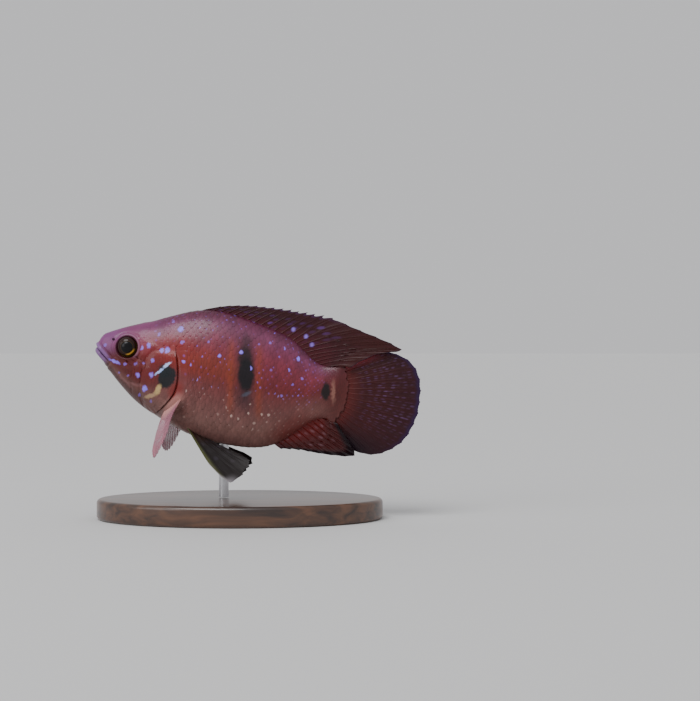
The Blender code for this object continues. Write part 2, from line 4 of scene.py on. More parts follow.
import bpy
import numpy as np
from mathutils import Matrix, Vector


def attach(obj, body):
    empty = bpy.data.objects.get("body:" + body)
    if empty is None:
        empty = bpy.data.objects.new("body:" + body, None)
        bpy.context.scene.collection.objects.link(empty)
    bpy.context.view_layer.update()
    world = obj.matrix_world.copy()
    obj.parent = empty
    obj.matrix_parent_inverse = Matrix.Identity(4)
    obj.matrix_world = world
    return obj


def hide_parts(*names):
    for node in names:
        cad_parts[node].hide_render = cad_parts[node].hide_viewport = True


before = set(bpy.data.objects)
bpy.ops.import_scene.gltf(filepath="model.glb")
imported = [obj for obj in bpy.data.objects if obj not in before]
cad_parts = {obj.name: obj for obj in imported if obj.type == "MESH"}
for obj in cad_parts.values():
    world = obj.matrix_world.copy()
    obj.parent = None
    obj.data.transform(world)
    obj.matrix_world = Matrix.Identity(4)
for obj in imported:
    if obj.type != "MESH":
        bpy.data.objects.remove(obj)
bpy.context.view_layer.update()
bpy.ops.object.select_all(action="DESELECT")

# The hide is the fish's whole body from the lips to the tail stalk: one cast and painted skin,
# worked straight in millimetres (x to the tail, y to its right, z up from the snout) and then
# bent and tipped into its pose. A sphere is drawn out into it, so that it closes at both ends.
MM = 0.001
BACK = ((0, 2.9), (4.4, 5.4), (13.6, 9.6), (23.2, 13.7), (29, 14.3), (40, 12.8), (46.5, 11.0),
        (51, 8.2), (54.5, 6.3), (58.8, 6.9))
BELLY = ((0, -1.3), (5.8, -6.6), (12.2, -11.4), (18.6, -14.2), (27, -16.8), (36, -17.4),
         (43.5, -16.6), (48, -14.5), (53.5, -9.3), (56.5, -7.0), (58.8, -6.6))
HALF_WIDTH = ((0, 2.3), (4, 3.5), (9, 4.9), (15, 6.1), (22, 6.9), (30, 7.0), (38, 6.1), (45, 4.5),
              (51, 2.7), (58.8, 1.25))
WIDEST = ((0, 0.0), (6, -0.6), (16, -2.6), (28, -3.0), (44, -1.6), (58.8, 0.0))
BACK_FORM = ((0, 2.2), (12, 1.95), (26, 1.75), (50, 1.7), (58.8, 1.9))
BELLY_FORM = ((0, 2.2), (12, 1.85), (26, 2.1), (40, 2.0), (50, 1.7), (58.8, 1.9))
GILL_LINE = ((-18, 13.4), (-15, 15.6), (-12, 18.2), (-8.5, 20.7), (-5.5, 21.5), (-1.5, 21.1),
             (3, 19.8), (8, 19.0), (17, 18.8))
COVER_FRONT = ((-13.4, 15.2), (-10, 13.4), (-5, 12.7), (0, 13.4), (3.2, 15.4))
NOSE_ROUND = 1.6
GILL_PLACE = 19.0
GILL_BEND = 11.0
OPENING_TOP = 2.7
BODY_END = 58.6
MOUTH_FRONT = (-1.0, 0.9)
MOUTH_CORNER = (4.2, -3.1)
EYE_CENTRE = (7.8, 1.5)
EYE_RADIUS = 2.6
EYE_DEPTH = 1.9
EYE_PROUD = 0.6
NOSTRIL = (4.0, 2.7)
PITCH = math.radians(11)
TAIL_SWEEP = -3.0
SWEEP_FROM = 24.0
SWEEP_LENGTH = 56.0
ROD_FORWARD = 4.0
ROD_UNDER = 35.0
SNOUT_HEIGHT = 42.0
# The coat of scales is this deep, so the hide under it lies this far in. It is thinner on the
# head, and on the nape it deepens from the first of these two places to the second.
COAT = 0.27
HEAD_COAT = 0.17
COAT_THIN_TO, COAT_DEEP_FROM = 15.5, 20.5
AROUND = 360


def spline(points):
    """A smooth curve through (place, value) points that takes and gives arrays."""
    place, value = np.array(points, float).T
    step = np.diff(place)
    rise = np.diff(value) / step
    size = len(place)
    matrix = np.eye(size)
    right = np.zeros(size)
    for i in range(1, size - 1):
        matrix[i, i - 1:i + 2] = step[i - 1], 2 * (step[i - 1] + step[i]), step[i]
        right[i] = 6 * (rise[i] - rise[i - 1])
    bend = np.linalg.solve(matrix, right)

    def at(x):
        x = np.asarray(x, float)
        i = np.clip(np.searchsorted(place, x) - 1, 0, size - 2)
        after, before = x - place[i], place[i + 1] - x
        h = step[i]
        return ((bend[i] * before**3 + bend[i + 1] * after**3) / (6 * h)
                + (value[i] / h - bend[i] * h / 6) * before
                + (value[i + 1] / h - bend[i + 1] * h / 6) * after)

    return at


back_line, belly_line = spline(BACK), spline(BELLY)
half_width, widest_height = spline(HALF_WIDTH), spline(WIDEST)
back_form, belly_form = spline(BACK_FORM), spline(BELLY_FORM)
gill_line, cover_front = spline(GILL_LINE), spline(COVER_FRONT)


def smooth(low, high, value):
    """0 below low, 1 above high and a soft step between, for either order of the two."""
    t = np.clip((value - low) / (high - low), 0, 1)
    return t * t * (3 - 2 * t)


def hump(value, middle, width):
    """A soft hump, 1 at the middle and gone about two widths away."""
    return np.exp(-((value - middle) / width) ** 2)


def patch(x, z, centre, radii, tilt, soft):
    """1 inside a tilted oval, 0 outside, with an edge soft by a share of its radius."""
    c, s = math.cos(math.radians(tilt)), math.sin(math.radians(tilt))
    dx, dz = x - centre[0], z - centre[1]
    far = np.hypot((dx * c + dz * s) / radii[0], (dz * c - dx * s) / radii[1])
    return smooth(1 + soft, 1 - soft, far)


def levels(x):
    """Top, bottom, widest height and half width of the body's section at x."""
    ahead = np.clip(1 - x / NOSE_ROUND, 0, 1)
    nose = np.sqrt(1 - ahead * ahead)
    return back_line(x) * nose, belly_line(x) * nose, widest_height(x) * nose, half_width(x) * nose


def section(x, turn):
    """Points of the body's surface, turn being the angle round the section."""
    top, bottom, middle, half = levels(x)
    up = np.sin(turn) > 0
    power = 2 / np.where(up, back_form(x), belly_form(x))
    rise = np.where(up, top, bottom) - middle
    side = np.sign(np.cos(turn)) * np.abs(np.cos(turn)) ** power
    y = half * side
    z = middle + rise * np.abs(np.sin(turn)) ** power
    return np.stack([x + 0 * turn, y, z], -1)


def side_of(x, z):
    """How far the surface stands from the middle plane at a place seen from the side."""
    top, bottom, middle, half = levels(x)
    up = z > middle
    form = np.where(up, back_form(x), belly_form(x))
    share = np.minimum(1, np.abs(z - middle) / np.where(up, top - middle, middle - bottom))
    return half * (1 - share**form) ** (1 / form)


def bent_section(place, turn):
    """Like section, with the sections near the gill opening bent so that one lies along it."""
    away = (place - GILL_PLACE) / GILL_BEND
    share = np.clip(1 - away * away, 0, 1) ** 2
    x = place + 0 * turn
    for _ in range(6):
        x = place + share * (gill_line(section(x, turn)[..., 2]) - GILL_PLACE)
    return section(x, turn)


def mouth_distance(x, z):
    """How far a place is above the plane of the mouth, and how far along it from the front."""
    along = np.array(MOUTH_CORNER) - np.array(MOUTH_FRONT)
    along /= np.linalg.norm(along)
    dx, dz = x - MOUTH_FRONT[0], z - MOUTH_FRONT[1]
    return dz * along[0] - dx * along[1], dx * along[0] + dz * along[1]


def distance(x, z, centre):
    """How far places seen from the side are from a centre."""
    return np.hypot(x - centre[0], z - centre[1])


def beside_opening(y, z):
    """1 on the flanks at the height of the gill opening, 0 above it and under the throat."""
    return smooth(OPENING_TOP, OPENING_TOP - 1.8, z) * smooth(0.8, 2.2, np.abs(y))


def nape_level(x, z):
    """Heights less the rise of the nape's lower edge, so that one level follows that edge."""
    return z - 0.42 * np.maximum(0, COAT_THIN_TO - x)


def scaled_share(x, z):
    """1 where the hide carries scales, 0 on the bare snout, jaws, throat and round the eye."""
    nape = smooth(10.2, 12.0, x) * smooth(2.4, 3.2, nape_level(x, z))
    eye = distance(x, z, EYE_CENTRE)
    lower_edge = -1.5 - 0.78 * (x - 4)
    cheek = (smooth(6.2, 7.4, x) * smooth(3.3, 3.8, eye) * smooth(lower_edge - 0.4, lower_edge, z)
             * smooth(0.6, -0.4, z) * (x < cover_front(z)))
    cover = (x >= cover_front(z)) * smooth(-11.5, -10.5, z)
    return np.clip(np.maximum(np.maximum(nape, cheek * 0.8), cover) + (x > 21.6), 0, 1)


def hide_relief(x, y, z, behind_gill):
    """How far the sculpted hide stands out of the plain body form at each place."""
    above, along = mouth_distance(x, z)
    corner = smooth(6.4, 5.0, along)
    lip = np.where(above > 0, 0.42, 0.5) * (0.5 + 0.5 * smooth(5.5, 1.5, along)) * corner
    out = lip * hump(np.abs(above), 0.6, 0.4)
    out -= 0.62 * hump(above, 0, 0.11) * corner
    out -= 0.16 * hump(np.abs(above), 1.34, 0.17) * corner * smooth(0.4, 1.4, along)
    # The fold of skin that runs down and back from the corner of the mouth.
    out -= 0.16 * hump(along, 6.6, 0.22) * smooth(-3.4, -1.2, above) * smooth(1.2, 0.1, above)
    out += 0.12 * hump(along, 7.3, 0.5) * hump(above, -0.9, 1.3)
    # The nostril is one pit on each side with a low rim.
    pit = distance(x, z, NOSTRIL)
    out += 0.1 * hump(pit, 0.46, 0.13) - 0.5 * hump(pit, 0, 0.24)
    # The socket, the rim of the eye and the bones below it.
    eye = distance(x, z, EYE_CENTRE)
    out += 0.2 * hump(eye, 2.95, 0.26) - 0.1 * hump(eye, 3.6, 0.3)
    out -= 2.0 * smooth(2.75, 2.2, eye)
    below = smooth(0.2, -1.2, z) * smooth(13, 11, x)
    out -= 0.1 * hump(eye, 4.7, 0.28) * below
    # The groove in front of the gill cover, the plate itself and the seams of its lower bones.
    flank = smooth(0.8, 2.2, np.abs(y))
    plate_top = smooth(OPENING_TOP + 0.6, OPENING_TOP - 1.6, z) * smooth(-15.5, -13.5, z) * flank
    from_front = x - cover_front(z)
    out -= 0.16 * hump(from_front, -0.25, 0.22) * plate_top * (x < GILL_PLACE + 1)
    out += 0.3 * smooth(-0.2, 1.2, from_front) * plate_top * (1 - behind_gill)
    out -= 0.12 * hump(from_front, -2.3, 0.2) * smooth(1.5, 0.5, z) * smooth(-10, -8.5, z)
    seam = z - (-7.6 - 0.28 * (x - 14))
    out -= 0.1 * hump(seam, 0, 0.17) * smooth(13.4, 14.2, x) * (1 - behind_gill)
    # Rays of skin that fan under the throat below the plate.
    rays = np.sin((z + 0.9 * x) * 5.2)
    out += 0.05 * rays * smooth(-11.0, -12.0, z) * smooth(11, 13, x) * (1 - behind_gill) * flank
    # The fleshy pad that carries the breast fin.
    out += 0.5 * patch(x, z, (21.9, -9.4), (1.3, 3.1), -42, 0.6)
    # Small pores of the line organ round the eye and along the jaw.
    for pore in ((5.2, -1.4), (6.4, -2.4), (8.0, -2.9), (9.7, -2.4), (10.9, -1.0), (11.1, 1.0),
                 (9.9, 4.9), (6.8, 4.9), (3.4, 4.0), (5.0, -4.9), (6.6, -6.3), (8.4, -7.7),
                 (10.4, -8.9), (11.6, -4.6), (12.0, -7.2), (11.9, -2.0)):
        out -= 0.13 * hump(distance(x, z, pore), 0, 0.13)
    # The coat is thinner on head and nape; over the gill opening it deepens by degrees.
    opening = beside_opening(y, z)
    deep = behind_gill * opening + smooth(COAT_THIN_TO, COAT_DEEP_FROM, x) * (1 - opening)
    thin = HEAD_COAT * np.maximum(scaled_share(x, z), behind_gill)
    return out - (COAT * deep + thin * (1 - deep))


def hide_points(place, turn):
    """Points of the finished hide and the normals of its plain form."""
    step = 0.02
    base = bent_section(place, turn)
    ahead = bent_section(place + step, turn) - bent_section(place - step, turn)
    round_it = bent_section(place, turn + step / 4) - bent_section(place, turn - step / 4)
    normal = np.cross(round_it, ahead)
    normal /= np.maximum(np.linalg.norm(normal, axis=-1, keepdims=True), 1e-9)
    behind = (place > GILL_PLACE + 0.001) * np.ones_like(turn)
    x, y, z = np.moveaxis(base, -1, 0)
    out = hide_relief(x, y, z, behind)
    out -= 0.24 * beside_opening(y, z) * hump(place, GILL_PLACE + 0.06, 0.1) * behind
    return base + normal * out[..., None], normal


def posed(points):
    """Points of the straight body in the row frame, in metres."""
    snout = np.array([-ROD_FORWARD, 0, SNOUT_HEIGHT])
    under = float(belly_line(ROD_UNDER))
    snout[0] -= ROD_UNDER * math.cos(PITCH) + under * math.sin(PITCH)
    along = np.clip((points[..., 0] - SWEEP_FROM) / SWEEP_LENGTH, 0, 1.2)
    x, y, z = np.moveaxis(points, -1, 0)
    y = y + TAIL_SWEEP * along * along
    turned = [x * math.cos(PITCH) + z * math.sin(PITCH), y, z * math.cos(PITCH) - x * math.sin(PITCH)]
    return (np.stack(turned, -1) + snout) * MM


def tone(red, green, blue):
    """A paint as a jar of it looks, from 0 to 255, made linear for the shader."""
    share = np.array([red, green, blue]) / 255
    return np.where(share <= 0.04045, share / 12.92, ((share + 0.055) / 1.055) ** 2.4)


def over(colour, jar, share):
    """Lays a paint, given as its jar looks, over colours by a share of cover."""
    share = np.asarray(share)[..., None]
    return colour * (1 - share) + tone(*jar) * share


# Tones of the flank from belly to back; the violet of the upper flank is partly a painted sheen of light
# from above.
FLANK_TONES_AND_SHEEN = ((0.0, (122, 88, 84)), (0.14, (124, 86, 80)), (0.32, (110, 62, 60)),
               (0.52, (106, 34, 38)), (0.74, (122, 46, 62)), (0.9, (114, 52, 84)),
               (1.0, (76, 24, 46)))


def hide_paint(points):
    """The broad tones of the body at places of the straight body, with a painted violet sheen on the back
    and head, before its crisp marks.
    """
    x, y, z = np.moveaxis(points, -1, 0)
    top, bottom, _, _ = levels(np.clip(x, 0.4, BODY_END))
    up = np.clip((z - bottom) / (top - bottom), 0, 1)
    places = [share for share, _ in FLANK_TONES_AND_SHEEN]
    tones = np.array([tone(*paint) for _, paint in FLANK_TONES_AND_SHEEN])
    colour = np.stack([np.interp(up, places, tones[:, k]) for k in range(3)], -1)
    ripple = np.sin(x * 1.9 + 1.3 * np.sin(z * 0.9)) * np.sin(z * 1.3 + 0.8 * np.sin(x * 0.7))
    colour = colour * (1 + 0.09 * ripple[..., None])
    head = smooth(21, 10, x)
    # The top of the head and nape is painted violet as a highlight of light from above.
    colour = over(colour, (120, 56, 100), head * smooth(0.55, 0.8, up) * 0.85)
    colour = over(colour, (78, 12, 13), head * smooth(0.66, 0.5, up) * smooth(0.12, 0.3, up) * 0.85)
    colour = over(colour, (64, 26, 24), head * smooth(0.26, 0.1, up) * 0.8)
    colour = over(colour, (136, 30, 22), 0.7 * patch(x, z, (20.0, 2.4), (9.5, 3.4), -4, 0.6))
    colour = over(colour, (100, 9, 9), 0.6 * patch(x, z, (14.5, -2.6), (4.5, 4.0), 0, 0.6))
    colour = over(colour, (118, 52, 30), 0.5 * patch(x, z, (30, 0.8), (8, 3.0), 0, 0.7))
    # The stalk darkens to the tail, and the foot of the anal fin is deep red up on to the flank.
    colour = over(colour, (78, 26, 24), 0.9 * smooth(53.0, 60.5, x))
    colour = over(colour, (96, 14, 12), 0.7 * patch(x, z, (51.5, -10.0), (6.0, 3.0), 32, 0.6))
    # The snout and lips are pale and bluish; on the snout above the mouth this is partly a painted
    # highlight from above.
    colour = over(colour, (120, 64, 118), smooth(8, 2.5, x) * smooth(-2.2, 1.2, z) * 0.75)
    above, along = mouth_distance(x, z)
    lips = smooth(1.3, 0.8, np.abs(above)) * smooth(6.6, 4.6, along)
    colour = over(colour, (138, 102, 166), lips * 0.6)
    colour = over(colour, (40, 14, 18), hump(above, 0, 0.14) * smooth(6.5, 5.8, along) * 0.85)
    nostril = distance(x, z, NOSTRIL)
    colour = over(colour, (34, 14, 18), smooth(0.42, 0.2, nostril) * 0.9)
    eye = distance(x, z, EYE_CENTRE)
    colour = over(colour, (52, 18, 24), hump(eye, 2.66, 0.24) * 0.75)
    colour = over(colour, (150, 112, 140), hump(eye, 3.08, 0.2) * smooth(-1.5, 1.5, z + x - 9.5) * 0.5)
    # The axil of the breast fin is red.
    colour = over(colour, (126, 16, 8), 0.62 * patch(x, z, (21.8, -6.8), (1.7, 2.4), 0, 0.6))
    colour = over(colour, (168, 118, 110), 0.7 * patch(x, z, (21.8, -9.5), (1.1, 2.8), -42, 0.5))
    # The smoky ends of the flank's blotch and the orange bars before and behind it.
    for middle in (33.8, 40.6):
        bar = hump(x + 0.18 * z, middle, 0.8) * smooth(-11, -7, z) * smooth(9.5, 6, z)
        colour = over(colour, (146, 62, 26), 0.42 * bar)
    smoke = hump(x + 0.18 * z, 37.3, 1.9) * smooth(-10.5, -5, z) * smooth(12, 8, z)
    colour = over(colour, (34, 24, 34), 0.7 * smoke)
    # Faint dusky bars across the back.
    for middle in (14.5, 25.5, 31.5, 43.5, 49.5):
        colour = over(colour, (48, 22, 40), 0.2 * hump(x, middle, 1.1) * smooth(0.5, 0.85, up))
    return colour


def paint(piece, name, colour, cover=1.0):
    """Stores a colour for each point of a piece, with how much it covers."""
    rgba = np.ones((len(piece.data.vertices), 4), np.float32)
    rgba[:, :3] = colour
    rgba[:, 3] = cover
    layer = piece.data.color_attributes.new(name, "FLOAT_COLOR", "POINT")
    layer.data.foreach_set("color", rgba.ravel())


def number(piece, name, values):
    """Stores three numbers for each point of a piece."""
    layer = piece.data.attributes.new(name, "FLOAT_VECTOR", "POINT")
    layer.data.foreach_set("vector", np.asarray(values, np.float32).ravel())


def points_of(piece):
    """The points of a piece, three numbers each."""
    flat = np.zeros(len(piece.data.vertices) * 3)
    piece.data.vertices.foreach_get("co", flat)
    return flat.reshape(-1, 3)


def move_points(piece, points):
    """Moves every point of a piece to its new place."""
    piece.data.vertices.foreach_set("co", points.ravel())
    piece.data.update()


def drawn_out_sphere(name, grid, front, rear):
    """A sphere whose rings are moved to the rows of a grid and its poles to two points."""
    rings, segments = grid.shape[:2]
    bpy.ops.mesh.primitive_uv_sphere_add(segments=segments, ring_count=rings + 1, radius=1)
    piece = bpy.context.active_object
    piece.name = name
    x, y, z = points_of(piece).T
    ring = np.round(np.arccos(np.clip(z, -1, 1)) / math.pi * (rings + 1)).astype(int)
    spot = np.round(np.arctan2(y, x) / math.tau * segments).astype(int) % segments
    moved = grid[np.clip(ring - 1, 0, rings - 1), spot]
    moved[ring == 0] = front
    moved[ring == rings + 1] = rear
    move_points(piece, moved)
    return piece, ring, spot


def tidy_normals(piece, angle):
    """Turns the faces outwards and smooths all but the sharp edges."""
    bpy.ops.object.select_all(action="DESELECT")
    piece.select_set(True)
    bpy.context.view_layer.objects.active = piece
    bpy.ops.object.mode_set(mode="EDIT")
    bpy.ops.mesh.select_all(action="SELECT")
    bpy.ops.mesh.normals_make_consistent(inside=False)
    bpy.ops.object.mode_set(mode="OBJECT")
    bpy.ops.object.shade_smooth_by_angle(angle=math.radians(angle))
    piece.select_set(False)


nose = NOSE_ROUND * (1 - np.cos(np.linspace(0.07, math.pi / 2, 16)))
places = np.concatenate([nose, np.arange(1.75, GILL_PLACE - 0.05, 0.15),
                         [GILL_PLACE, GILL_PLACE + 0.004, GILL_PLACE + 0.1, GILL_PLACE + 0.25],
                         np.arange(GILL_PLACE + 0.5, 24, 0.25), np.arange(24, BODY_END, 0.5)])
# Round each section the points are drawn to the mouth line, so that it is cut clean.
share = np.arange(AROUND) / AROUND
mouth_slope = (MOUTH_CORNER[1] - MOUTH_FRONT[1]) / (MOUTH_CORNER[0] - MOUTH_FRONT[0])
mouth_x = np.clip(places, 0, MOUTH_CORNER[0])
mouth_z = MOUTH_FRONT[1] + mouth_slope * (mouth_x - MOUTH_FRONT[0])
top, bottom, middle, _ = levels(mouth_x)
below = mouth_z < middle
form = np.where(below, belly_form(mouth_x), back_form(mouth_x))
reach = np.clip((mouth_z - middle) / np.where(below, bottom - middle, top - middle), 0, 1)
mouth_turn = np.where(below, 1, -1) * np.arcsin(reach ** (form / 2))
mouth_turn *= smooth(13, 5, places)
from_side = np.abs(np.where(share < 0.5, share, 1 - share) - 0.25) / 0.25
sway = np.outer(mouth_turn, np.where(share < 0.5, 1, -1) * np.cos(from_side * math.pi / 2) ** 2)
turns = math.pi / 2 + math.tau * share[None, :] + sway
grid, _ = hide_points(places[:, None], turns)
end_taper = grid[-1] * [0, 0.45, 0.96] + [BODY_END + 0.7, 0, 0]
grid = np.concatenate([grid, end_taper[None]])
plain = np.concatenate([bent_section(places[:, None], turns), end_taper[None]])
front = np.array([0.45, 0, float(mouth_z[0])])
rear = np.array([BODY_END + 0.8, 0, 0.2])
hide, ring, spot = drawn_out_sphere("body_skin", posed(grid), posed(front), posed(rear))
straight = plain[np.clip(ring - 1, 0, len(plain) - 1), spot]
paint(hide, "hide_paint", hide_paint(straight))
number(hide, "body_place", straight)
tidy_normals(hide, 70)


def new_finish(name, roughness, coat=0.0, coat_roughness=0.1, specular=0.5):
    """An empty finish with its gloss set on the shader itself."""
    made = bpy.data.materials.new(name)
    made.use_nodes = True
    shader = made.node_tree.nodes["Principled BSDF"]
    shader.inputs["Roughness"].default_value = roughness
    shader.inputs["Coat Weight"].default_value = coat
    shader.inputs["Coat Roughness"].default_value = coat_roughness
    shader.inputs["Specular IOR Level"].default_value = specular
    return made


def shade(finish, socket, source):
    """Leads an output to a socket of a finish's shader."""
    finish.node_tree.links.new(source, finish.node_tree.nodes["Principled BSDF"].inputs[socket])


def add_node(tree, kind, inputs, **settings):
    """Adds a node with its settings; each input takes a value or another node's output."""
    node = tree.nodes.new(kind)
    for name, value in settings.items():
        setattr(node, name, value)
    for socket, value in inputs.items():
        if isinstance(value, bpy.types.NodeSocket):
            tree.links.new(value, node.inputs[socket])
        else:
            node.inputs[socket].default_value = value
    return node


def worked(tree, operation, *inputs, kind="ShaderNodeMath", output=0):
    """What a Math or Vector Math node makes of values and other nodes' outputs."""
    return add_node(tree, kind, dict(enumerate(inputs)), operation=operation).outputs[output]


def stored(tree, name):
    """The outputs of what a piece's points store under a name."""
    return add_node(tree, "ShaderNodeAttribute", {}, attribute_name=name).outputs


def new_group(name, inputs, outputs):
    """A new node group and its inputs. Each socket has a name, a kind and maybe a first value."""
    group = bpy.data.node_groups.new(name, "ShaderNodeTree")
    for way, sockets in (("INPUT", inputs), ("OUTPUT", outputs)):
        for label, kind, *value in sockets:
            socket = group.interface.new_socket(label, in_out=way, socket_type=f"NodeSocket{kind}")
            if value:
                socket.default_value = value[0]
    return group, group.nodes.new("NodeGroupInput").outputs


# Sums of vectors are worked by this kind of node.
VECTOR = "ShaderNodeVectorMath"

# The fine grain of wet, painted skin: a tint that drifts, a gloss that breaks and a small relief.
grain, given = new_group(
    "skin_grain",
    (("Fineness", "Float", 2600.0), ("Tint Drift", "Float", 0.12), ("Gloss", "Float", 0.4)),
    (("Tint", "Float"), ("Roughness", "Float"), ("Height", "Float")))
object_place = grain.nodes.new("ShaderNodeTexCoord").outputs["Object"]
fine = add_node(grain, "ShaderNodeTexNoise",
                {"Vector": object_place, "Scale": given["Fineness"], "Detail": 3})
broad = add_node(grain, "ShaderNodeTexNoise", {"Vector": object_place, "Scale": 420, "Detail": 4})
centred = worked(grain, "SUBTRACT", broad.outputs["Fac"], 0.5)
add_node(grain, "NodeGroupOutput", {
    "Tint": worked(grain, "MULTIPLY_ADD", centred, given["Tint Drift"], 1.0),
    "Roughness": worked(grain, "MULTIPLY_ADD", centred, 0.25, given["Gloss"]),
    "Height": fine.outputs["Fac"]})


def grained(finish, colour_socket, fineness, drift_by, gloss, depth, ridges=None, ridges_by=0):
    """Gives a finish its tinted colour, broken gloss and relief from the skin grain."""
    tree = finish.node_tree
    skin = add_node(tree, "ShaderNodeGroup",
                    {"Fineness": fineness, "Tint Drift": drift_by, "Gloss": gloss}, node_tree=grain)
    tinted = add_node(tree, VECTOR, {0: colour_socket, "Scale": skin.outputs["Tint"]},
                      operation="SCALE")
    height = skin.outputs["Height"]
    if ridges is not None:
        height = worked(tree, "MULTIPLY_ADD", ridges, ridges_by, height)
    bump = add_node(tree, "ShaderNodeBump", {"Strength": 0.6, "Distance": depth, "Height": height})
    shade(finish, "Base Color", tinted.outputs[0])
    shade(finish, "Roughness", skin.outputs["Roughness"])
    shade(finish, "Normal", bump.outputs["Normal"])


# The crisp marks of hide and scales are ovals seen from the side. Each row gives the middle,
# the two radii, the tilt, the softness of the edge, the paint and how much it covers.
DOT_VIOLET = (146, 122, 255)
DOT_PALE = (196, 168, 158)
MARKS = [((5.4, -2.5), (1.45, 0.4), -12, 0.4, DOT_VIOLET, 0.8),
         ((8.2, -6.3), (2.9, 0.36), -36, 0.7, (144, 98, 100), 0.42),
         ((11.6, -7.0), (1.6, 0.34), 0, 0.7, (144, 98, 100), 0.35),
         ((19.0, -3.8), (2.0, 2.7), -14, 0.16, (8, 18, 24), 0.96),
         ((18.2, -2.4), (1.5, 1.6), 20, 0.3, (10, 21, 27), 0.85),
         ((16.95, -2.75), (1.25, 0.3), 50, 0.4, (170, 196, 255), 0.95),
         ((18.55, -0.75), (1.15, 0.36), 42, 0.4, (190, 208, 255), 0.95),
         ((17.4, -7.2), (0.62, 1.35), -16, 0.4, (202, 174, 116), 0.8),
         ((15.7, -8.9), (1.5, 0.5), 30, 0.45, (188, 156, 118), 0.7),
         ((37.5, 0.4), (1.9, 3.9), 11, 0.25, (8, 5, 13), 0.96),
         ((36.5, 4.3), (1.7, 2.6), 11, 0.45, (14, 10, 16), 0.8),
         ((38.5, -4.0), (1.2, 0.45), 35, 0.6, (84, 116, 140), 0.25),
         ((57.1, 0.1), (1.0, 2.1), 11, 0.3, (10, 5, 7), 0.95),
         ((58.9, 0.3), (0.5, 2.5), 11, 0.6, (172, 124, 108), 0.4)]
# The violet-blue dots of the head: place, radius and strength.
HEAD_DOTS = ((13.1, 2.9, 0.42, 0.8), (11.5, 2.0, 0.4, 0.7), (17.7, 2.7, 0.52, 0.9),
             (16.4, 2.3, 0.42, 0.8), (14.7, -0.4, 0.4, 0.7), (10.8, -2.1, 0.32, 0.4),
             (8.2, -2.6, 0.32, 0.5), (12.7, -1.5, 0.3, 0.4), (11.8, -4.6, 0.44, 0.8),
             (15.2, -3.9, 0.5, 0.9), (14.1, -7.5, 0.6, 1.0), (19.8, 8.1, 0.55, 0.8),
             (20.9, 5.2, 0.4, 0.5), (2.3, 0.9, 0.4, 0.4), (9.4, -5.2, 0.26, 0.4),
             (12.9, -9.4, 0.36, 0.4), (16.0, -10.2, 0.34, 0.3), (14.9, 5.9, 0.36, 0.45),
             (17.4, 9.6, 0.34, 0.35), (7.0, -5.0, 0.26, 0.35))
for dot_x, dot_z, radius, bright in HEAD_DOTS:
    MARKS.append(((dot_x, dot_z), (radius, radius * 1.2), 0, 0.45, DOT_VIOLET, bright))
oval, given = new_group(
    "oval_mark",
    (("Base", "Color"), ("Paint", "Color"), ("Place", "Vector"), ("Middle", "Vector"),
     ("Inverse Radii", "Vector"), ("Tilt", "Float"), ("Inner", "Float"), ("Outer", "Float"),
     ("Cover", "Float")),
    (("Color", "Color"),))
turned = add_node(oval, "ShaderNodeVectorRotate", {
    "Vector": given["Place"], "Center": given["Middle"], "Angle": given["Tilt"]},
    rotation_type="Y_AXIS")
away = worked(oval, "SUBTRACT", turned.outputs[0], given["Middle"], kind=VECTOR)
shares = worked(oval, "MULTIPLY", away, given["Inverse Radii"], kind=VECTOR)
edge = add_node(oval, "ShaderNodeMapRange", {
    "Value": worked(oval, "LENGTH", shares, kind=VECTOR, output="Value"),
    "From Min": given["Outer"], "From Max": given["Inner"], "To Max": given["Cover"]},
    interpolation_type="SMOOTHSTEP")
laid = add_node(oval, "ShaderNodeMix", {
    "Factor": edge.outputs["Result"], 6: given["Base"], 7: given["Paint"]}, data_type="RGBA")
add_node(oval, "NodeGroupOutput", {"Color": laid.outputs[2]})

hide_marks, given = new_group("hide_marks", (("Base", "Color"), ("Place", "Vector")),
                              (("Color", "Color"),))
# Each mark's edge wavers by up to half of this, as skin's own pigment does.
WAVER = 1.1
waver = add_node(hide_marks, "ShaderNodeTexNoise",
                 {"Vector": given["Place"], "Scale": 1.1, "Detail": 3})
centred = worked(hide_marks, "SUBTRACT", waver.outputs["Color"], (0.5, 0.5, 0.5), kind=VECTOR)
wavered = worked(hide_marks, "MULTIPLY_ADD", centred, (WAVER, WAVER, WAVER), given["Place"],
                 kind=VECTOR)
colour_socket = given["Base"]
for centre, radii, tilt, soft, mark_paint, mark_cover in MARKS:
    mark = add_node(hide_marks, "ShaderNodeGroup", {
        "Base": colour_socket, "Paint": (*tone(*mark_paint), 1), "Place": wavered,
        "Middle": (centre[0], 0, centre[1]), "Inverse Radii": (1 / radii[0], 0, 1 / radii[1]),
        "Tilt": math.radians(tilt), "Inner": 1 - soft, "Outer": 1 + soft, "Cover": mark_cover},
        node_tree=oval)
    colour_socket = mark.outputs["Color"]
add_node(hide_marks, "NodeGroupOutput", {"Color": colour_socket})


def marked(tree):
    """The stored tones of the hide with its crisp marks laid over them."""
    marks = add_node(tree, "ShaderNodeGroup", {
        "Base": stored(tree, "hide_paint")["Color"],
        "Place": stored(tree, "body_place")["Vector"]}, node_tree=hide_marks)
    return marks.outputs["Color"]


painted_skin = new_finish("painted_skin", 0.4, 0.1, 0.15, 0.3)
grained(painted_skin, marked(painted_skin.node_tree), 3200, 0.3, 0.42, 0.00006)
hide.data.materials.append(painted_skin)
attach(hide, "root")
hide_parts("head", "lower_jaw", "gill_cover_left", "gill_cover_right", "trunk", "tail_stalk")

# The scales are thin plates, rooted at the front and free at the rear, each over the next.
# They are set in rows that run with the body, the same on both sides; many carry a dot of pearly violet
# or, low on the flank, of pale tan, and the brightest dots are placed one by one.
ROWS = 15
PLATE_ACROSS, PLATE_ALONG = 9, 7
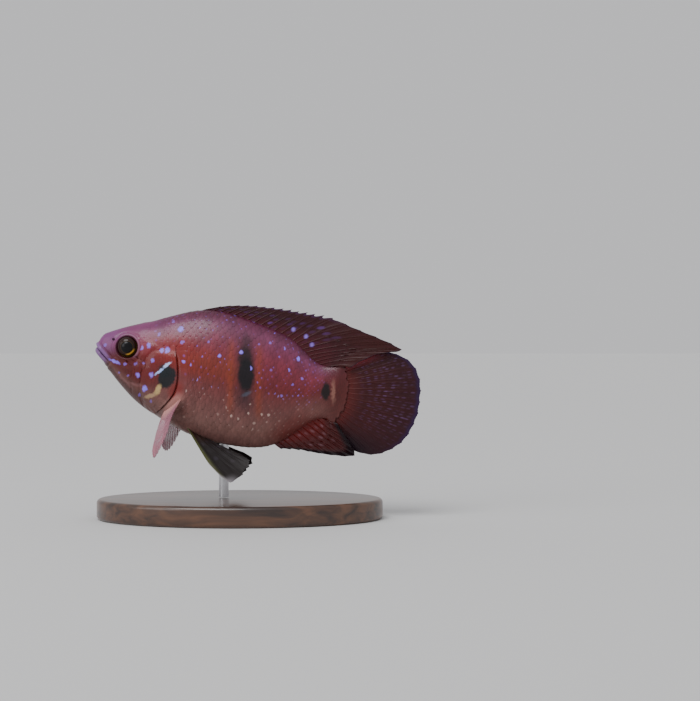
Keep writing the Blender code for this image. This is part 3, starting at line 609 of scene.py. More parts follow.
# A scale reaches this far ahead of its root and behind it, in shares of the rows' pitch, and
# this far to each side, in shares of a row's height. It is this thick, in shares of its rise.
PLATE_AHEAD, PLATE_BEHIND = 0.75, 1.28
PLATE_SIDE = 0.94
PLATE_THICK = 0.16
# The tail fin's rays fan out between these angles, in degrees, from a foot that reaches this
# far above and below the middle. The scales run out on it over this length.
TAIL_LOW, TAIL_HIGH = -62, 65
TAIL_FOOT = 6.5
FOOT_LENGTH = 3.2
# The brightest dots of the flank: place, radius and strength.
FLANK_DOTS = ((24.0, 0.0, 0.5, 0.9), (21.6, -1.2, 0.5, 0.9), (30.7, 3.2, 0.5, 1.0),
              (35.5, 5.1, 0.55, 1.0), (38.2, 3.4, 0.62, 1.0), (25.5, 6.9, 0.4, 0.5),
              (27.3, 5.5, 0.36, 0.45), (31.6, 7.4, 0.4, 0.5), (41.9, 11.0, 0.5, 0.7),
              (45.1, 9.5, 0.55, 0.8), (46.9, 9.2, 0.5, 0.7), (41.9, 8.3, 0.4, 0.5),
              (49.0, 6.4, 0.78, 1.0), (47.2, 4.0, 0.55, 0.95), (49.6, 9.4, 0.45, 0.8),
              (26.3, -3.9, 0.45, 0.8), (24.3, -5.0, 0.4, 0.6), (29.5, -3.5, 0.5, 0.85),
              (31.4, -3.9, 0.42, 0.75), (34.1, -6.8, 0.5, 0.85), (29.9, -10.5, 0.4, 0.5),
              (33.7, -9.9, 0.45, 0.7), (35.8, -9.8, 0.5, 0.8), (37.6, -9.2, 0.42, 0.7),
              (39.7, -8.5, 0.45, 0.8), (42.9, -8.0, 0.45, 0.75), (44.7, -7.6, 0.42, 0.7),
              (41.8, -10.3, 0.4, 0.5), (41.3, -13.1, 0.45, 0.55), (50.9, 2.3, 0.42, 0.5),
              (46.8, -2.3, 0.42, 0.5), (48.9, -0.2, 0.4, 0.5), (51.6, -1.7, 0.42, 0.5),
              (45.9, -4.3, 0.42, 0.5), (43.5, 2.0, 0.36, 0.35), (44.4, 5.4, 0.38, 0.4),
              (53.6, 2.9, 0.4, 0.35), (54.3, -0.9, 0.36, 0.35))
# A table of how the girth is shared out, so that the rows stay even round every section.
TABLE_STEP = 0.5
TABLE_SHARES = 64
table_places = np.arange(4, 61, TABLE_STEP)
table_shares = np.linspace(0, 1, TABLE_SHARES + 1)
fine_turns = np.linspace(math.pi / 2, 3 * math.pi / 2, 257)
table_turns, table_arcs = [], []
for place in table_places:
    ring_points = bent_section(np.full(len(fine_turns), min(place, BODY_END)), fine_turns)
    lengths = np.linalg.norm(np.diff(ring_points, axis=0), axis=1)
    travelled = np.concatenate([[0], np.cumsum(lengths)])
    table_turns.append(np.interp(table_shares * travelled[-1], travelled, fine_turns))
    table_arcs.append(travelled[-1])
table_turns, table_arcs = np.array(table_turns), np.array(table_arcs)


def turn_at(place, round_share):
    """The turn that lies a share of the way round from the back to the belly."""
    i = np.clip((place - table_places[0]) / TABLE_STEP, 0, len(table_places) - 1.001)
    j = np.clip(round_share * TABLE_SHARES, 0, TABLE_SHARES - 0.001)
    i0, j0 = i.astype(int), j.astype(int)
    fi, fj = i - i0, j - j0
    upper = table_turns[i0, j0] * (1 - fj) + table_turns[i0, j0 + 1] * fj
    lower = table_turns[i0 + 1, j0] * (1 - fj) + table_turns[i0 + 1, j0 + 1] * fj
    return upper * (1 - fi) + lower * fi


def make_plates(names, side, roots, seed):
    """Joined scales, in one piece for each name from front to rear. Each root gives its place,
    share round, pitch, row height, rise, dots and how far forward and back its scale reaches."""
    draw = np.random.default_rng(seed)
    count = len(roots)
    place, round_share, pitch, row, rise, dots, first, last = (
        np.array(v, float)[:, None, None] for v in zip(*roots))
    u = np.linspace(-1, 1, PLATE_ACROSS)[None, :, None]
    v = np.linspace(0, 1, PLATE_ALONG)[None, None, :]
    size = 1 + draw.uniform(-0.03, 0.03, (count, 1, 1))
    half_high = row * PLATE_SIDE * size
    front = np.maximum(-PLATE_AHEAD * pitch, first - place)
    back = np.minimum(PLATE_BEHIND * pitch * size, last - place)
    edge = (1 - np.abs(u) ** 2.6) ** 0.5
    along = front + v * (back * edge - front)
    across = u * half_high * (0.86 + 0.14 * np.sin(math.pi * np.clip(v * 1.05, 0, 1)))
    arc = np.interp(place, table_places, table_arcs)
    at = place + along
    turn = turn_at(np.minimum(at, BODY_END), np.clip(round_share + across / arc, 0.001, 0.999))
    base, normal = hide_points(np.minimum(at, BODY_END), turn)
    # The last scales lie on the foot of the tail fin and spread with its rays.
    past = np.maximum(at - BODY_END, 0)
    up = base[..., 2] / (2 * TAIL_FOOT) + 0.5
    fan = np.radians(np.clip(TAIL_LOW + (TAIL_HIGH - TAIL_LOW) * up, TAIL_LOW + 10, TAIL_HIGH - 27))
    thinned = smooth(0, FOOT_LENGTH, past)
    base[..., 0] += past * np.cos(fan)
    base[..., 1] = base[..., 1] * (1 - thinned) - 0.34 * thinned
    base[..., 2] += past * np.sin(fan)
    rise = rise * (1 - 0.6 * thinned)
    reached = (along - front) / (back - front)
    lift = rise * (0.36 + 0.64 * reached) * draw.uniform(0.96, 1.04, (count, 1, 1))
    lift = lift + 0.1 * rise * (1 - u * u) - 0.2 * rise * np.abs(u) ** 4
    sheets = [base + normal * height[..., None] for height in (lift, lift - PLATE_THICK * rise)]
    grids = np.stack(sheets, 1) * [1, -side, 1]
    places = np.stack([base, base], 1)
    dulled = 1 - 0.16 * smooth(0.82, 1.0, v + 0 * along)[:, None]
    dulled = dulled + 0.08 * draw.uniform(-1, 1, (count, 1, 1, 1))
    colour = hide_paint(places) * dulled[..., None]
    # Each scale's own dot: where it is in the scale's width and length, its size and strength.
    middle = base[:, PLATE_ACROSS // 2]
    exposed = 0.5 * (middle[:, -1] + middle[:, PLATE_ALONG // 2])
    centre = np.stack([draw.uniform(-0.12, 0.12, count), draw.uniform(0.6, 0.74, count)], -1)
    radius = draw.uniform(0.26, 0.4, count)
    strength = np.clip(draw.normal(0.02, 0.2, count), 0, 0.6) * dots[:, 0, 0]
    ex, ez = exposed[:, 0], exposed[:, 2]
    strength *= smooth(-15.5, -11, ez) * smooth(58, 50, ex)
    strength *= 1 - patch(ex, ez, (37.1, 1.3), (3, 6.5), 11, 0.3)
    length = (back - front)[:, 0, 0]
    if dots.max() > 0:
        for dot_x, dot_z, dot_radius, bright in FLANK_DOTS:
            k = int(np.argmin(distance(ex, ez, (dot_x, dot_z))))
            centre[k, 0] = np.clip((dot_z - ez[k]) / half_high[k, 0, 0], -0.35, 0.35)
            centre[k, 1] = np.clip(0.7 + (dot_x - ex[k]) / length[k], 0.58, 0.8)
            radius[k], strength[k] = dot_radius, bright
    warm = smooth(-2, -6, ez)[:, None]
    dot_colour = tone(*DOT_VIOLET) * (1 - warm) + tone(*DOT_PALE) * warm
    off_u = (u - centre[:, 0, None, None]) * half_high / radius[:, None, None]
    off_v = (reached - centre[:, 1, None, None]) * length[:, None, None] / radius[:, None, None]
    spot = np.stack([off_u + 0 * off_v, off_v, reached], -1)
    spots = np.stack([spot, spot], 1)
    dot_colours = dot_colour[:, None, None, None, :] + 0 * places
    covers = strength[:, None, None, None] + 0 * places[..., 0]
    # On the bake map each scale is a small patch at its root's place on the unrolled hide.
    bake_patch, bake_length = 0.003, 62
    bake_places = np.zeros((count, 2, PLATE_ACROSS, PLATE_ALONG, 2))
    bake_places[..., 0] = (0.01 + 0.98 * place / bake_length + bake_patch * (v - 0.5))[:, None]
    bake_places[..., 1] = (0.01 + 0.98 * round_share + bake_patch * 0.5 * u)[:, None]
    # One scale's faces: its outer sheet, its inner sheet and the rim between them.
    upper, lower = np.arange(2 * PLATE_ACROSS * PLATE_ALONG).reshape(2, PLATE_ACROSS, PLATE_ALONG)
    corners = [(sheet[:-1, :-1], sheet[:-1, 1:], sheet[1:, 1:], sheet[1:, :-1])
               for sheet in (upper, lower)]
    outer, inner = (np.stack(corner, -1).reshape(-1, 4) for corner in corners)
    rim = [(i, 0) for i in range(PLATE_ACROSS)]
    rim += [(PLATE_ACROSS - 1, j) for j in range(1, PLATE_ALONG)]
    rim += [(i, PLATE_ALONG - 1) for i in range(PLATE_ACROSS - 2, -1, -1)]
    rim += [(0, j) for j in range(PLATE_ALONG - 2, 0, -1)]
    skirt = [(upper[a], lower[a], lower[b], upper[b]) for a, b in zip(rim, rim[1:] + rim[:1])]
    one = np.concatenate([outer, inner[:, ::-1], skirt])[:, ::-side]
    pieces = []
    for name, chosen in zip(names, np.array_split(np.arange(count), len(names))):
        faces = one + 2 * PLATE_ACROSS * PLATE_ALONG * np.arange(len(chosen))[:, None, None]
        mesh = bpy.data.meshes.new(name)
        mesh.from_pydata(posed(grids[chosen].reshape(-1, 3)).tolist(), [],
                         faces.reshape(-1, 4).tolist())
        piece = bpy.data.objects.new(name, mesh)
        bpy.context.scene.collection.objects.link(piece)
        paint(piece, "hide_paint", colour[chosen].reshape(-1, 3))
        number(piece, "body_place", places[chosen].reshape(-1, 3))
        number(piece, "dot_place", spots[chosen].reshape(-1, 3))
        paint(piece, "dot_paint", dot_colours[chosen].reshape(-1, 3), covers[chosen].ravel())
        loops = np.zeros(len(mesh.loops), np.int64)
        mesh.loops.foreach_get("vertex_index", loops)
        bake = mesh.uv_layers.new(name="OFBake")
        bake.data.foreach_set("uv", bake_places[chosen].reshape(-1, 2)[loops].astype(np.float32).ravel())
        tidy_normals(piece, 50)
        pieces.append(piece)
    return pieces


roots = []
place, column = 10.8, 0
while place < BODY_END + FOOT_LENGTH:
    depth = np.interp(place, table_places, table_arcs)
    pitch = 1.62 * (depth / 36) ** 0.55
    for j in range(ROWS):
        round_share = (j + 0.25 + 0.5 * (column % 2)) / ROWS
        turn = turn_at(np.array([place]), np.array([round_share]))
        point = bent_section(np.array([min(place, BODY_END)]), turn)[0]
        # Beside the gill opening a scale stops short of the slit; above it the scales run on.
        ahead = place < GILL_PLACE - 0.6
        beside = point[2] < OPENING_TOP + 0.95 * depth / ROWS
        on_nape = nape_level(point[0], point[2]) > 2.9
        in_slit = beside and not ahead and place < GILL_PLACE + 0.4
        on_fin = place > BODY_END + 3.0 * (1 - (point[2] / 7.2) ** 2)
        if (place >= GILL_PLACE + 0.4 or on_nape) and not in_slit and not on_fin:
            deep = smooth(COAT_THIN_TO, COAT_DEEP_FROM, place) if on_nape else 1
            # The first scales of the nape hardly stand out of the skin that they grow from.
            nape_rise = HEAD_COAT * (0.4 + 0.6 * smooth(10.8, 14.5, place))
            rise = nape_rise + (COAT + 0.03 - nape_rise) * deep
            speckled = 1.0 if place > GILL_PLACE + 2 else 0.4
            first = GILL_PLACE + 0.05 if beside and not ahead else 4.2
            last = GILL_PLACE - 0.06 if beside and ahead else BODY_END + 4.6
            roots.append((place, round_share, pitch, depth / ROWS, rise, speckled, first, last))
    place += pitch / 2
    column += 1
painted_scale = new_finish("painted_scale", 0.34, 0.12, 0.12, 0.3)
tree = painted_scale.node_tree
dot_place = stored(tree, "dot_place")["Vector"]
dot_paint = stored(tree, "dot_paint")
flat = worked(tree, "MULTIPLY", dot_place, (1, 1, 0), kind=VECTOR)
inside = add_node(tree, "ShaderNodeMapRange", {
    "Value": worked(tree, "LENGTH", flat, kind=VECTOR, output="Value"),
    "From Min": 1.35, "From Max": 0.5}, interpolation_type="SMOOTHSTEP")
dotted = add_node(tree, "ShaderNodeMix", {
    "Factor": worked(tree, "MULTIPLY", inside.outputs["Result"], dot_paint["Alpha"]),
    6: marked(tree), 7: dot_paint["Color"]}, data_type="RGBA")
# Fine growth rings run round each scale.
GROWTH_RINGS = 95
from_root = add_node(tree, "ShaderNodeSeparateXYZ", {0: dot_place}).outputs["Z"]
growth = worked(tree, "SINE", worked(tree, "MULTIPLY", from_root, GROWTH_RINGS))
grained(painted_scale, dotted.outputs[2], 3200, 0.24, 0.36, 0.00002, growth, 0.07)
for side, names in ((-1, ("scales_left_front", "scales_left_rear")),
                    (1, ("scales_right_front", "scales_right_rear"))):
    for scales in make_plates(names, side, roots, 40 + side):
        scales.data.materials.append(painted_scale)
        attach(scales, "root")

# Cheek and gill cover carry smaller and thinner scales, in rows that follow the gill opening.
# The snout, the jaws and the skin round the eye are bare.
small_roots = []
place, column = 7.2, 0
while place < GILL_PLACE - 0.6:
    depth = float(np.interp(place, table_places, table_arcs))
    pitch, row = 1.2, 1.35
    for j in range(int(depth / row)):
        round_share = (j + 0.25 + 0.5 * (column % 2)) * row / depth
        turn = turn_at(np.array([place]), np.array([min(round_share, 0.99)]))
        x, y, z = bent_section(np.array([place]), turn)[0]
        eye = distance(x, z, EYE_CENTRE)
        ahead_of_plate = float(cover_front(z)) - x
        cheek = 1.5 < ahead_of_plate and eye > 3.9 and -1.2 - 0.78 * (x - 4) < z < 0.2
        cover = ahead_of_plate < -0.9 and -10.6 < z < 2.6
        if cheek or cover:
            small_roots.append((place, round_share, pitch, row, 0.16, 0.0, 4.2, GILL_PLACE - 0.06))
    place += pitch / 2
    column += 1
for side, name in ((-1, "cheek_scales_left"), (1, "cheek_scales_right")):
    scales = make_plates((name,), side, small_roots, 60 + side)[0]
    scales.data.materials.append(painted_scale)
    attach(scales, "root")

# The fins are thin skin over bony rays. Spines are single and pointed; soft rays are jointed
# and fork twice towards the edge. Each fin is a sheet, shaped to its rays and thickened by
# how much ray or skin lies at each place. Its root is sunk this far in the body, and the
# folded fins above and below lean this far to the left.
ROOT_SUNK = 0.5
FOLD_SIDE = 1.3
draw = random.Random(11)


def varied(length, by=0.02):
    """A ray's length with the small unevenness of real rays."""
    return length * (1 + draw.uniform(-by, by))


def fin_sheet(name, roots, tips, bow, spines, per_gap, rows, notch, colouring, thick=1.0):
    """A fin from the ends of its rays; colouring gives each place's colour and cover."""
    roots, tips = np.array(roots, float), np.array(tips, float)
    rays = len(roots)
    across = (rays - 1) * per_gap + 1
    c = np.linspace(0, rays - 1, across)
    root = np.stack([np.interp(c, np.arange(rays), roots[:, k]) for k in range(3)], -1)
    curves = [spline(list(enumerate(tips[:, k]))) for k in range(3)]
    soft_tip = np.stack([curve(c) for curve in curves], -1)
    stiff_tip = np.stack([np.interp(c, np.arange(rays), tips[:, k]) for k in range(3)], -1)
    stiff = smooth(spines - 0.5, spines - 1.5, c)[:, None]
    tip = stiff_tip * stiff + soft_tip * (1 - stiff)
    frac = c - np.floor(c)
    dip = np.interp(c, np.arange(rays - 1) + 0.5, notch) * np.sin(math.pi * frac ** 0.75)
    fray = 0.002 * (1 - np.cos(math.tau * frac * 4)) * (c > spines - 1)
    t = np.linspace(0, 1, rows)
    share = t[None, :] * (1 - dip - fray)[:, None]
    length = np.linalg.norm(tip - root, axis=1)[:, None]
    arch = (length * 4 * share * (1 - share))[..., None] * np.array(bow)
    points = root[:, None] + (tip - root)[:, None] * share[..., None] + arch
    # Ray profile: one ridge that forks into two and then four as it nears the edge.
    fork = np.where(c > spines - 0.5, 1.0, 0.0)[:, None]
    first = 0.17 * smooth(0.3, 0.62, t)[None] * fork
    second = 0.075 * smooth(0.6, 0.9, t)[None] * fork
    off = np.minimum(frac, 1 - frac)[:, None]
    wide = 0.085 - 0.03 * t[None] * fork
    ridge = np.zeros_like(share)
    for sign in (-1, 1):
        for sub in (-1, 1):
            ridge = np.maximum(ridge, hump(off, sign * first + sub * second, wide))
    taper = np.where(fork > 0, 1 - 0.62 * t[None], 1 - 0.8 * t[None])
    ray = (0.5 * taper + 0.1) * ridge * thick
    web = 0.16 - 0.08 * t[None]
    flare = 0.9 * np.clip(1 - t / 0.14, 0, 1)[None] ** 2
    half = np.sqrt(web**2 + ray**2 + flare**2)
    bpy.ops.mesh.primitive_grid_add(x_subdivisions=across - 1, y_subdivisions=rows - 1, size=2)
    piece = bpy.context.active_object
    piece.name = name
    gx, gy, _ = points_of(piece).T
    i = np.round((gx + 1) / 2 * (across - 1)).astype(int)
    j = np.round((gy + 1) / 2 * (rows - 1)).astype(int)
    move_points(piece, posed(points)[i, j])
    colour, cover = colouring(points, c[:, None] + 0 * share, t[None] + 0 * share, ridge)
    paint(piece, "fin_paint", colour[i, j], cover[i, j])
    place = np.stack([c[:, None] + 0 * share, share * length, ridge], -1)
    number(piece, "ray_place", place[i, j])
    group = piece.vertex_groups.new(name="thickness")
    most = float(half.max())
    for k, weight in enumerate(half[i, j] / most):
        group.add([k], float(weight), "REPLACE")
    solid = piece.modifiers.new("Thickness", "SOLIDIFY")
    solid.thickness = most * MM
    solid.offset = 0
    solid.vertex_group = "thickness"
    bpy.ops.object.modifier_apply(modifier="Thickness")
    tidy_normals(piece, 70)
    return piece


# A soft ray has a joint each so many millimetres of its length.
RAY_JOINT = 0.42


def fin_finish(name, gloss):
    """Painted fin skin: the rays' joints stand out as fine rings and the web is a little clear."""
    finish = new_finish(name, gloss, 0.05, 0.2, 0.18)
    tree = finish.node_tree
    web = stored(tree, "fin_paint")
    ray_place = stored(tree, "ray_place")["Vector"]
    ray = add_node(tree, "ShaderNodeSeparateXYZ", {0: ray_place}).outputs
    wave = worked(tree, "COSINE", worked(tree, "MULTIPLY", ray["Y"], math.tau / RAY_JOINT))
    joints = worked(tree, "MULTIPLY", wave, ray["Z"])
    shade(finish, "Alpha", web["Alpha"])
    grained(finish, web["Color"], 2600, 0.3, gloss, 0.00003, joints, 0.2)
    return finish


red_web = fin_finish("painted_red_fin", 0.42)
clear_web = fin_finish("painted_clear_fin", 0.36)


def dots_between(c, t, rows, reach, wide, chance, seed):
    """Dots set between the rays in rows across a fin, each with its own strength."""
    pick = np.random.default_rng(seed)
    gaps = int(c.max()) + 1
    out = np.zeros_like(c)
    for row in rows:
        strength = np.clip(pick.normal(chance, 0.25, gaps), 0, 1)
        shift = pick.uniform(-0.9, 0.9, gaps) * reach
        gap = np.clip(c.astype(int), 0, gaps - 1)
        away = np.hypot((c - gap - 0.5) / wide, (t - row - shift[gap]) / reach)
        out = np.maximum(out, strength[gap] * smooth(1.2, 0.6, away))
    return out


def dorsal_paint(points, c, t, ridge):
    x, z = points[..., 0], points[..., 2]
    colour = np.ones(points.shape) * tone(54, 14, 20)
    colour = over(colour, (88, 20, 28), smooth(0.5, 0.1, t) * 0.6)
    colour = over(colour, (72, 26, 14), smooth(13, 18, c) * smooth(0.2, 0.7, t) * 0.45)
    colour = over(colour, (40, 12, 22), (1 - ridge) * 0.3)
    dots = dots_between(c, t, (0.18, 0.38, 0.58), 0.07, 0.26, 0.22, 3) * smooth(19, 14, c)
    colour = over(colour, (104, 64, 150), dots * 0.5)
    late = dots_between(c, t, (0.3, 0.42, 0.54, 0.66, 0.78, 0.88), 0.03, 0.3, 0.2, 4) * smooth(14, 16, c)
    colour = over(colour, (92, 48, 74), late * 0.18)
    colour = over(colour, (38, 9, 11), ridge * 0.45)
    for middle in ((49.8, 12.3), (51.6, 10.6), (46.4, 13.4)):
        colour = over(colour, (150, 122, 230), 0.8 * patch(x, z, middle, (0.44, 0.52), 0, 0.5))
    colour = over(colour, (74, 42, 84), smooth(0.86, 0.97, t) * smooth(16, 12, c) * 0.7)
    colour = over(colour, (44, 18, 36), smooth(0.93, 1.0, t) * 0.6)
    return colour, 0.93 + 0.07 * ridge


# The spines stand along this stretch of the back; the soft rays follow, this far apart.
SPINES, SOFT_RAYS = 14, 10
SPINY_FROM, SPINY_LENGTH = 22.2, 23.0
SOFT_FROM, SOFT_APART = 46.6, 0.88
roots, tips = [], []
for k in range(SPINES):
    share = k / (SPINES - 1)
    x = SPINY_FROM + SPINY_LENGTH * share
    root = np.array([x, 0, float(back_line(x)) - ROOT_SUNK])
    rake = math.radians(28 + 14 * share)
    length = varied(3.5 + 7.2 * share**0.8)
    roots.append(root)
    tips.append(root + np.array([math.cos(rake), 0, math.sin(rake)]) * length)
lobe_x = spline(((0, 55.4), (2, 62.6), (4, 70.6), (5, 73.4), (7, 68.6), (9, 61.9)))
lobe_z = spline(((0, 18.0), (2, 16.3), (4, 14.6), (5, 13.6), (7, 11.7), (9, 6.9)))
for k in range(SOFT_RAYS):
    x = SOFT_FROM + SOFT_APART * k
    sunk = ROOT_SUNK + 0.35 * float(smooth(6, 9, k))
    roots.append(np.array([x, 0, float(back_line(x)) - sunk]))
    sway = -FOLD_SIDE * math.sin(math.pi / 2 * min(1, k / 4))
    tips.append(np.array([float(lobe_x(k)), sway, float(lobe_z(k))]))
notches = [0.12] * SPINES + [0.02] * (SOFT_RAYS - 1)
dorsal = fin_sheet("dorsal_membrane", roots, tips, (0, 0, 0.04), SPINES, 10, 56, notches,
                   dorsal_paint, 0.75)
dorsal.data.materials.append(red_web)
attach(dorsal, "root")
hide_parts("dorsal_fin")

# The tail fin is a round fan of forked rays, dark red with a pink upper edge that is a painted highlight,
# a blue-black lower edge and short violet streaks in rows across its rear half.
REACH = ((-62, 14.6), (-48, 17.7), (-36, 19.6), (-20, 21.2), (0, 21.6), (19, 21.8),
         (30, 21.2), (40, 19.1), (53, 15.6), (65, 12.4))
TAIL_RAYS = 18


def tail_paint(points, c, t, ridge):
    up = c / (TAIL_RAYS - 1)
    colour = np.ones(points.shape) * tone(58, 17, 19)
    colour = over(colour, (112, 40, 35), smooth(0.42, 0.0, t) * 0.95)
    colour = over(colour, (38, 14, 24), smooth(0.45, 0.9, t) * 0.5)
    colour = over(colour, (14, 9, 22), smooth(0.3, 0.0, up) * smooth(0.2, 0.7, t) * 0.9)
    colour = over(colour, (40, 12, 18), (1 - ridge) * 0.25)
    rows = (0.34, 0.43, 0.52, 0.6, 0.68, 0.76, 0.84, 0.91)
    streaks = np.zeros_like(c)
    for k, part in enumerate((0.28, 0.0, -0.28)):
        streaks = np.maximum(streaks, dots_between(c + part, t, rows, 0.026, 0.085, 0.3, 20 + k))
    streaks *= smooth(0.12, 0.5, up) * smooth(0.25, 0.45, t)
    colour = over(colour, (124, 92, 150), streaks * 0.42)
    # The pink along the upper edge is a painted highlight.
    colour = over(colour, (176, 66, 78), smooth(0.8, 0.93, up) * smooth(1.0, 0.55, t) * 0.85)
    colour = over(colour, (34, 26, 84), smooth(0.93, 0.99, t) * smooth(0.1, 0.4, up) * 0.42)
    return colour, 0.94 + 0.06 * ridge


roots, tips = [], []
tail_reach = spline(REACH)
for k in range(TAIL_RAYS):
    share = k / (TAIL_RAYS - 1)
    angle = TAIL_LOW + (TAIL_HIGH - TAIL_LOW) * share
    length = varied(0.99 * float(tail_reach(angle)), 0.006)
    turn = math.radians(angle)
    cup = 0.8 * (2 * share - 1) ** 2
    # The short rays of the upper edge grow from further forward on the stalk.
    forward = 2.6 * float(smooth(0.84, 1.0, share))
    height = TAIL_FOOT * (2 * share - 1) - 0.25 * forward
    roots.append(np.array([BODY_END - 0.1 - forward, 0, height]))
    tips.append(np.array([BODY_END + 0.3 + length * math.cos(turn), cup, length * math.sin(turn)]))
tail = fin_sheet("tail_membrane", roots, tips, (0, 0, 0), 0, 16, 72, [0.012] * (TAIL_RAYS - 1),
                 tail_paint, 0.55)
tail.data.materials.append(red_web)
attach(tail, "root")
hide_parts("tail_fin")

# The anal fin has three short spines and eight soft rays folded back under the stalk. Pale
# dots lie along its foot and its lower edge is nearly black.
def anal_paint(points, c, t, ridge):
    colour = np.ones(points.shape) * tone(62, 12, 12)
    colour = over(colour, (104, 22, 20), smooth(0.5, 0.1, t) * 0.6)
    colour = over(colour, (42, 12, 16), (1 - ridge) * 0.25)
    colour = over(colour, (12, 8, 16), smooth(0.66, 0.92, t) * 0.9)
    dots = dots_between(c, t, (0.2, 0.36, 0.54), 0.045, 0.22, 0.15, 31)
    colour = over(colour, (150, 116, 130), dots * 0.6)
    return colour, 0.94 + 0.06 * ridge


ANAL_SPINES, ANAL_RAYS = 3, 11
ANAL_FROM, ANAL_APART = 46.8, 1.02
reach_x = spline(((0, 49.2), (2, 53.6), (5, 61.4), (7, 67.0), (8, 66.6), (10, 61.4)))
reach_z = spline(((0, -15.9), (2, -15.3), (5, -14.9), (7, -13.9), (8, -12.7), (10, -7.0)))
roots, tips = [], []
for k in range(ANAL_RAYS):
    x = ANAL_FROM + ANAL_APART * k
    roots.append(np.array([x, 0, float(belly_line(x)) + ROOT_SUNK]))
    sway = -FOLD_SIDE * math.sin(math.pi / 2 * min(1, k / 6))
    tips.append(np.array([float(reach_x(k)), sway, float(reach_z(k))]))
anal = fin_sheet("anal_membrane", roots, tips, (0, 0, -0.03), ANAL_SPINES, 12, 48,
                 [0.14, 0.14, 0.1] + [0.02] * 7, anal_paint)
anal.data.materials.append(red_web)
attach(anal, "root")
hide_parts("anal_fin")

# The pelvic fins hang in a pair under the breast. Their skin is nearly black, and the ray at
# the front is olive with a pale end.
PELVIC_ENDS = ((33.0, 5.4, -22.6), (38.8, 6.6, -25.7), (41.4, 6.1, -23.3), (42.6, 5.3, -21.2),
               (42.2, 4.5, -19.7), (39.8, 3.6, -18.8))


def pelvic_paint(points, c, t, ridge):
    colour = np.ones(points.shape) * tone(27, 20, 20)
    colour = over(colour, (62, 36, 28), smooth(0.4, 0.05, t) * 0.6)
    colour = over(colour, (92, 96, 52), smooth(1.1, 0.2, c) * 0.7)
    colour = over(colour, (190, 184, 190), smooth(0.86, 1.0, t) * smooth(1.9, 0.7, c) * 0.5)
    dots = dots_between(c, t, (0.3, 0.45, 0.6, 0.75), 0.035, 0.26, 0.3, 41)
    colour = over(colour, (92, 84, 104), dots * 0.3)
    return colour, 0.96 + 0.04 * ridge


def under_of(x, y):
    """The height of the belly's surface at a place seen from below."""
    _, bottom, middle, half = levels(x)
    form = float(belly_form(x))
    return float(middle + (bottom - middle) * (1 - min(1.0, abs(y) / half) ** form) ** (1 / form))


for side, name in ((-1, "left"), (1, "right")):
    roots, tips = [], []
    for k, (x, y, z) in enumerate(PELVIC_ENDS):
        place, width = 25.2 + 0.6 * k, 3.3 - 0.34 * k
        roots.append(np.array([place, side * width, under_of(place, width) + ROOT_SUNK + 0.3]))
        tips.append(np.array([x, side * y, z]))
    pelvic = fin_sheet(f"pelvic_membrane_{name}", roots, tips, (0, 0, -0.02), 1, 14, 48,
                       [0.0, 0.03, 0.03, 0.03, 0.03], pelvic_paint, 0.6)
    pelvic.data.materials.append(clear_web)
    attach(pelvic, "root")
    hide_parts(f"pelvic_fin_{name}")

# The pectoral fins flare out and down behind the gill covers. They are nearly clear, pink at
# the rays, with a pale fleshy root.
def pectoral_paint(points, c, t, ridge):
    colour = np.ones(points.shape) * tone(164, 112, 132)
    colour = over(colour, (182, 116, 122), ridge * 0.6)
    colour = over(colour, (196, 140, 132), smooth(0.4, 0.12, t) * 0.85)
    cover = np.clip(0.42 + 0.5 * ridge + 0.6 * smooth(0.35, 0.1, t), 0, 1)
    return colour, cover


PECTORAL_RAYS = 10
fan_x = spline(((0, 22.6), (3, 21.5), (6, 20.3), (9, 19.2)))
fan_y = spline(((0, 15.0), (3, 14.6), (6, 12.0), (9, 8.7)))
fan_z = spline(((0, -16.0), (3, -20.4), (6, -22.9), (9, -21.8)))
for side, name in ((-1, "left"), (1, "right")):
    roots, tips = [], []
    for k in range(PECTORAL_RAYS):
        share = k / (PECTORAL_RAYS - 1)
        x, z = 23.5 - 3.4 * share, -7.5 - 3.7 * share
        roots.append(np.array([x, side * (float(side_of(x, z)) - ROOT_SUNK - 0.3), z]))
        tips.append(np.array([float(fan_x(k)), side * float(fan_y(k)), float(fan_z(k))]))
    pectoral = fin_sheet(f"pectoral_membrane_{name}", roots, tips, (-0.04, 0, 0.03), 0, 12, 48,
                         [0.02] * (PECTORAL_RAYS - 1), pectoral_paint, 0.7)
    pectoral.data.materials.append(clear_web)
    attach(pectoral, "root")
    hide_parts(f"pectoral_fin_{name}")

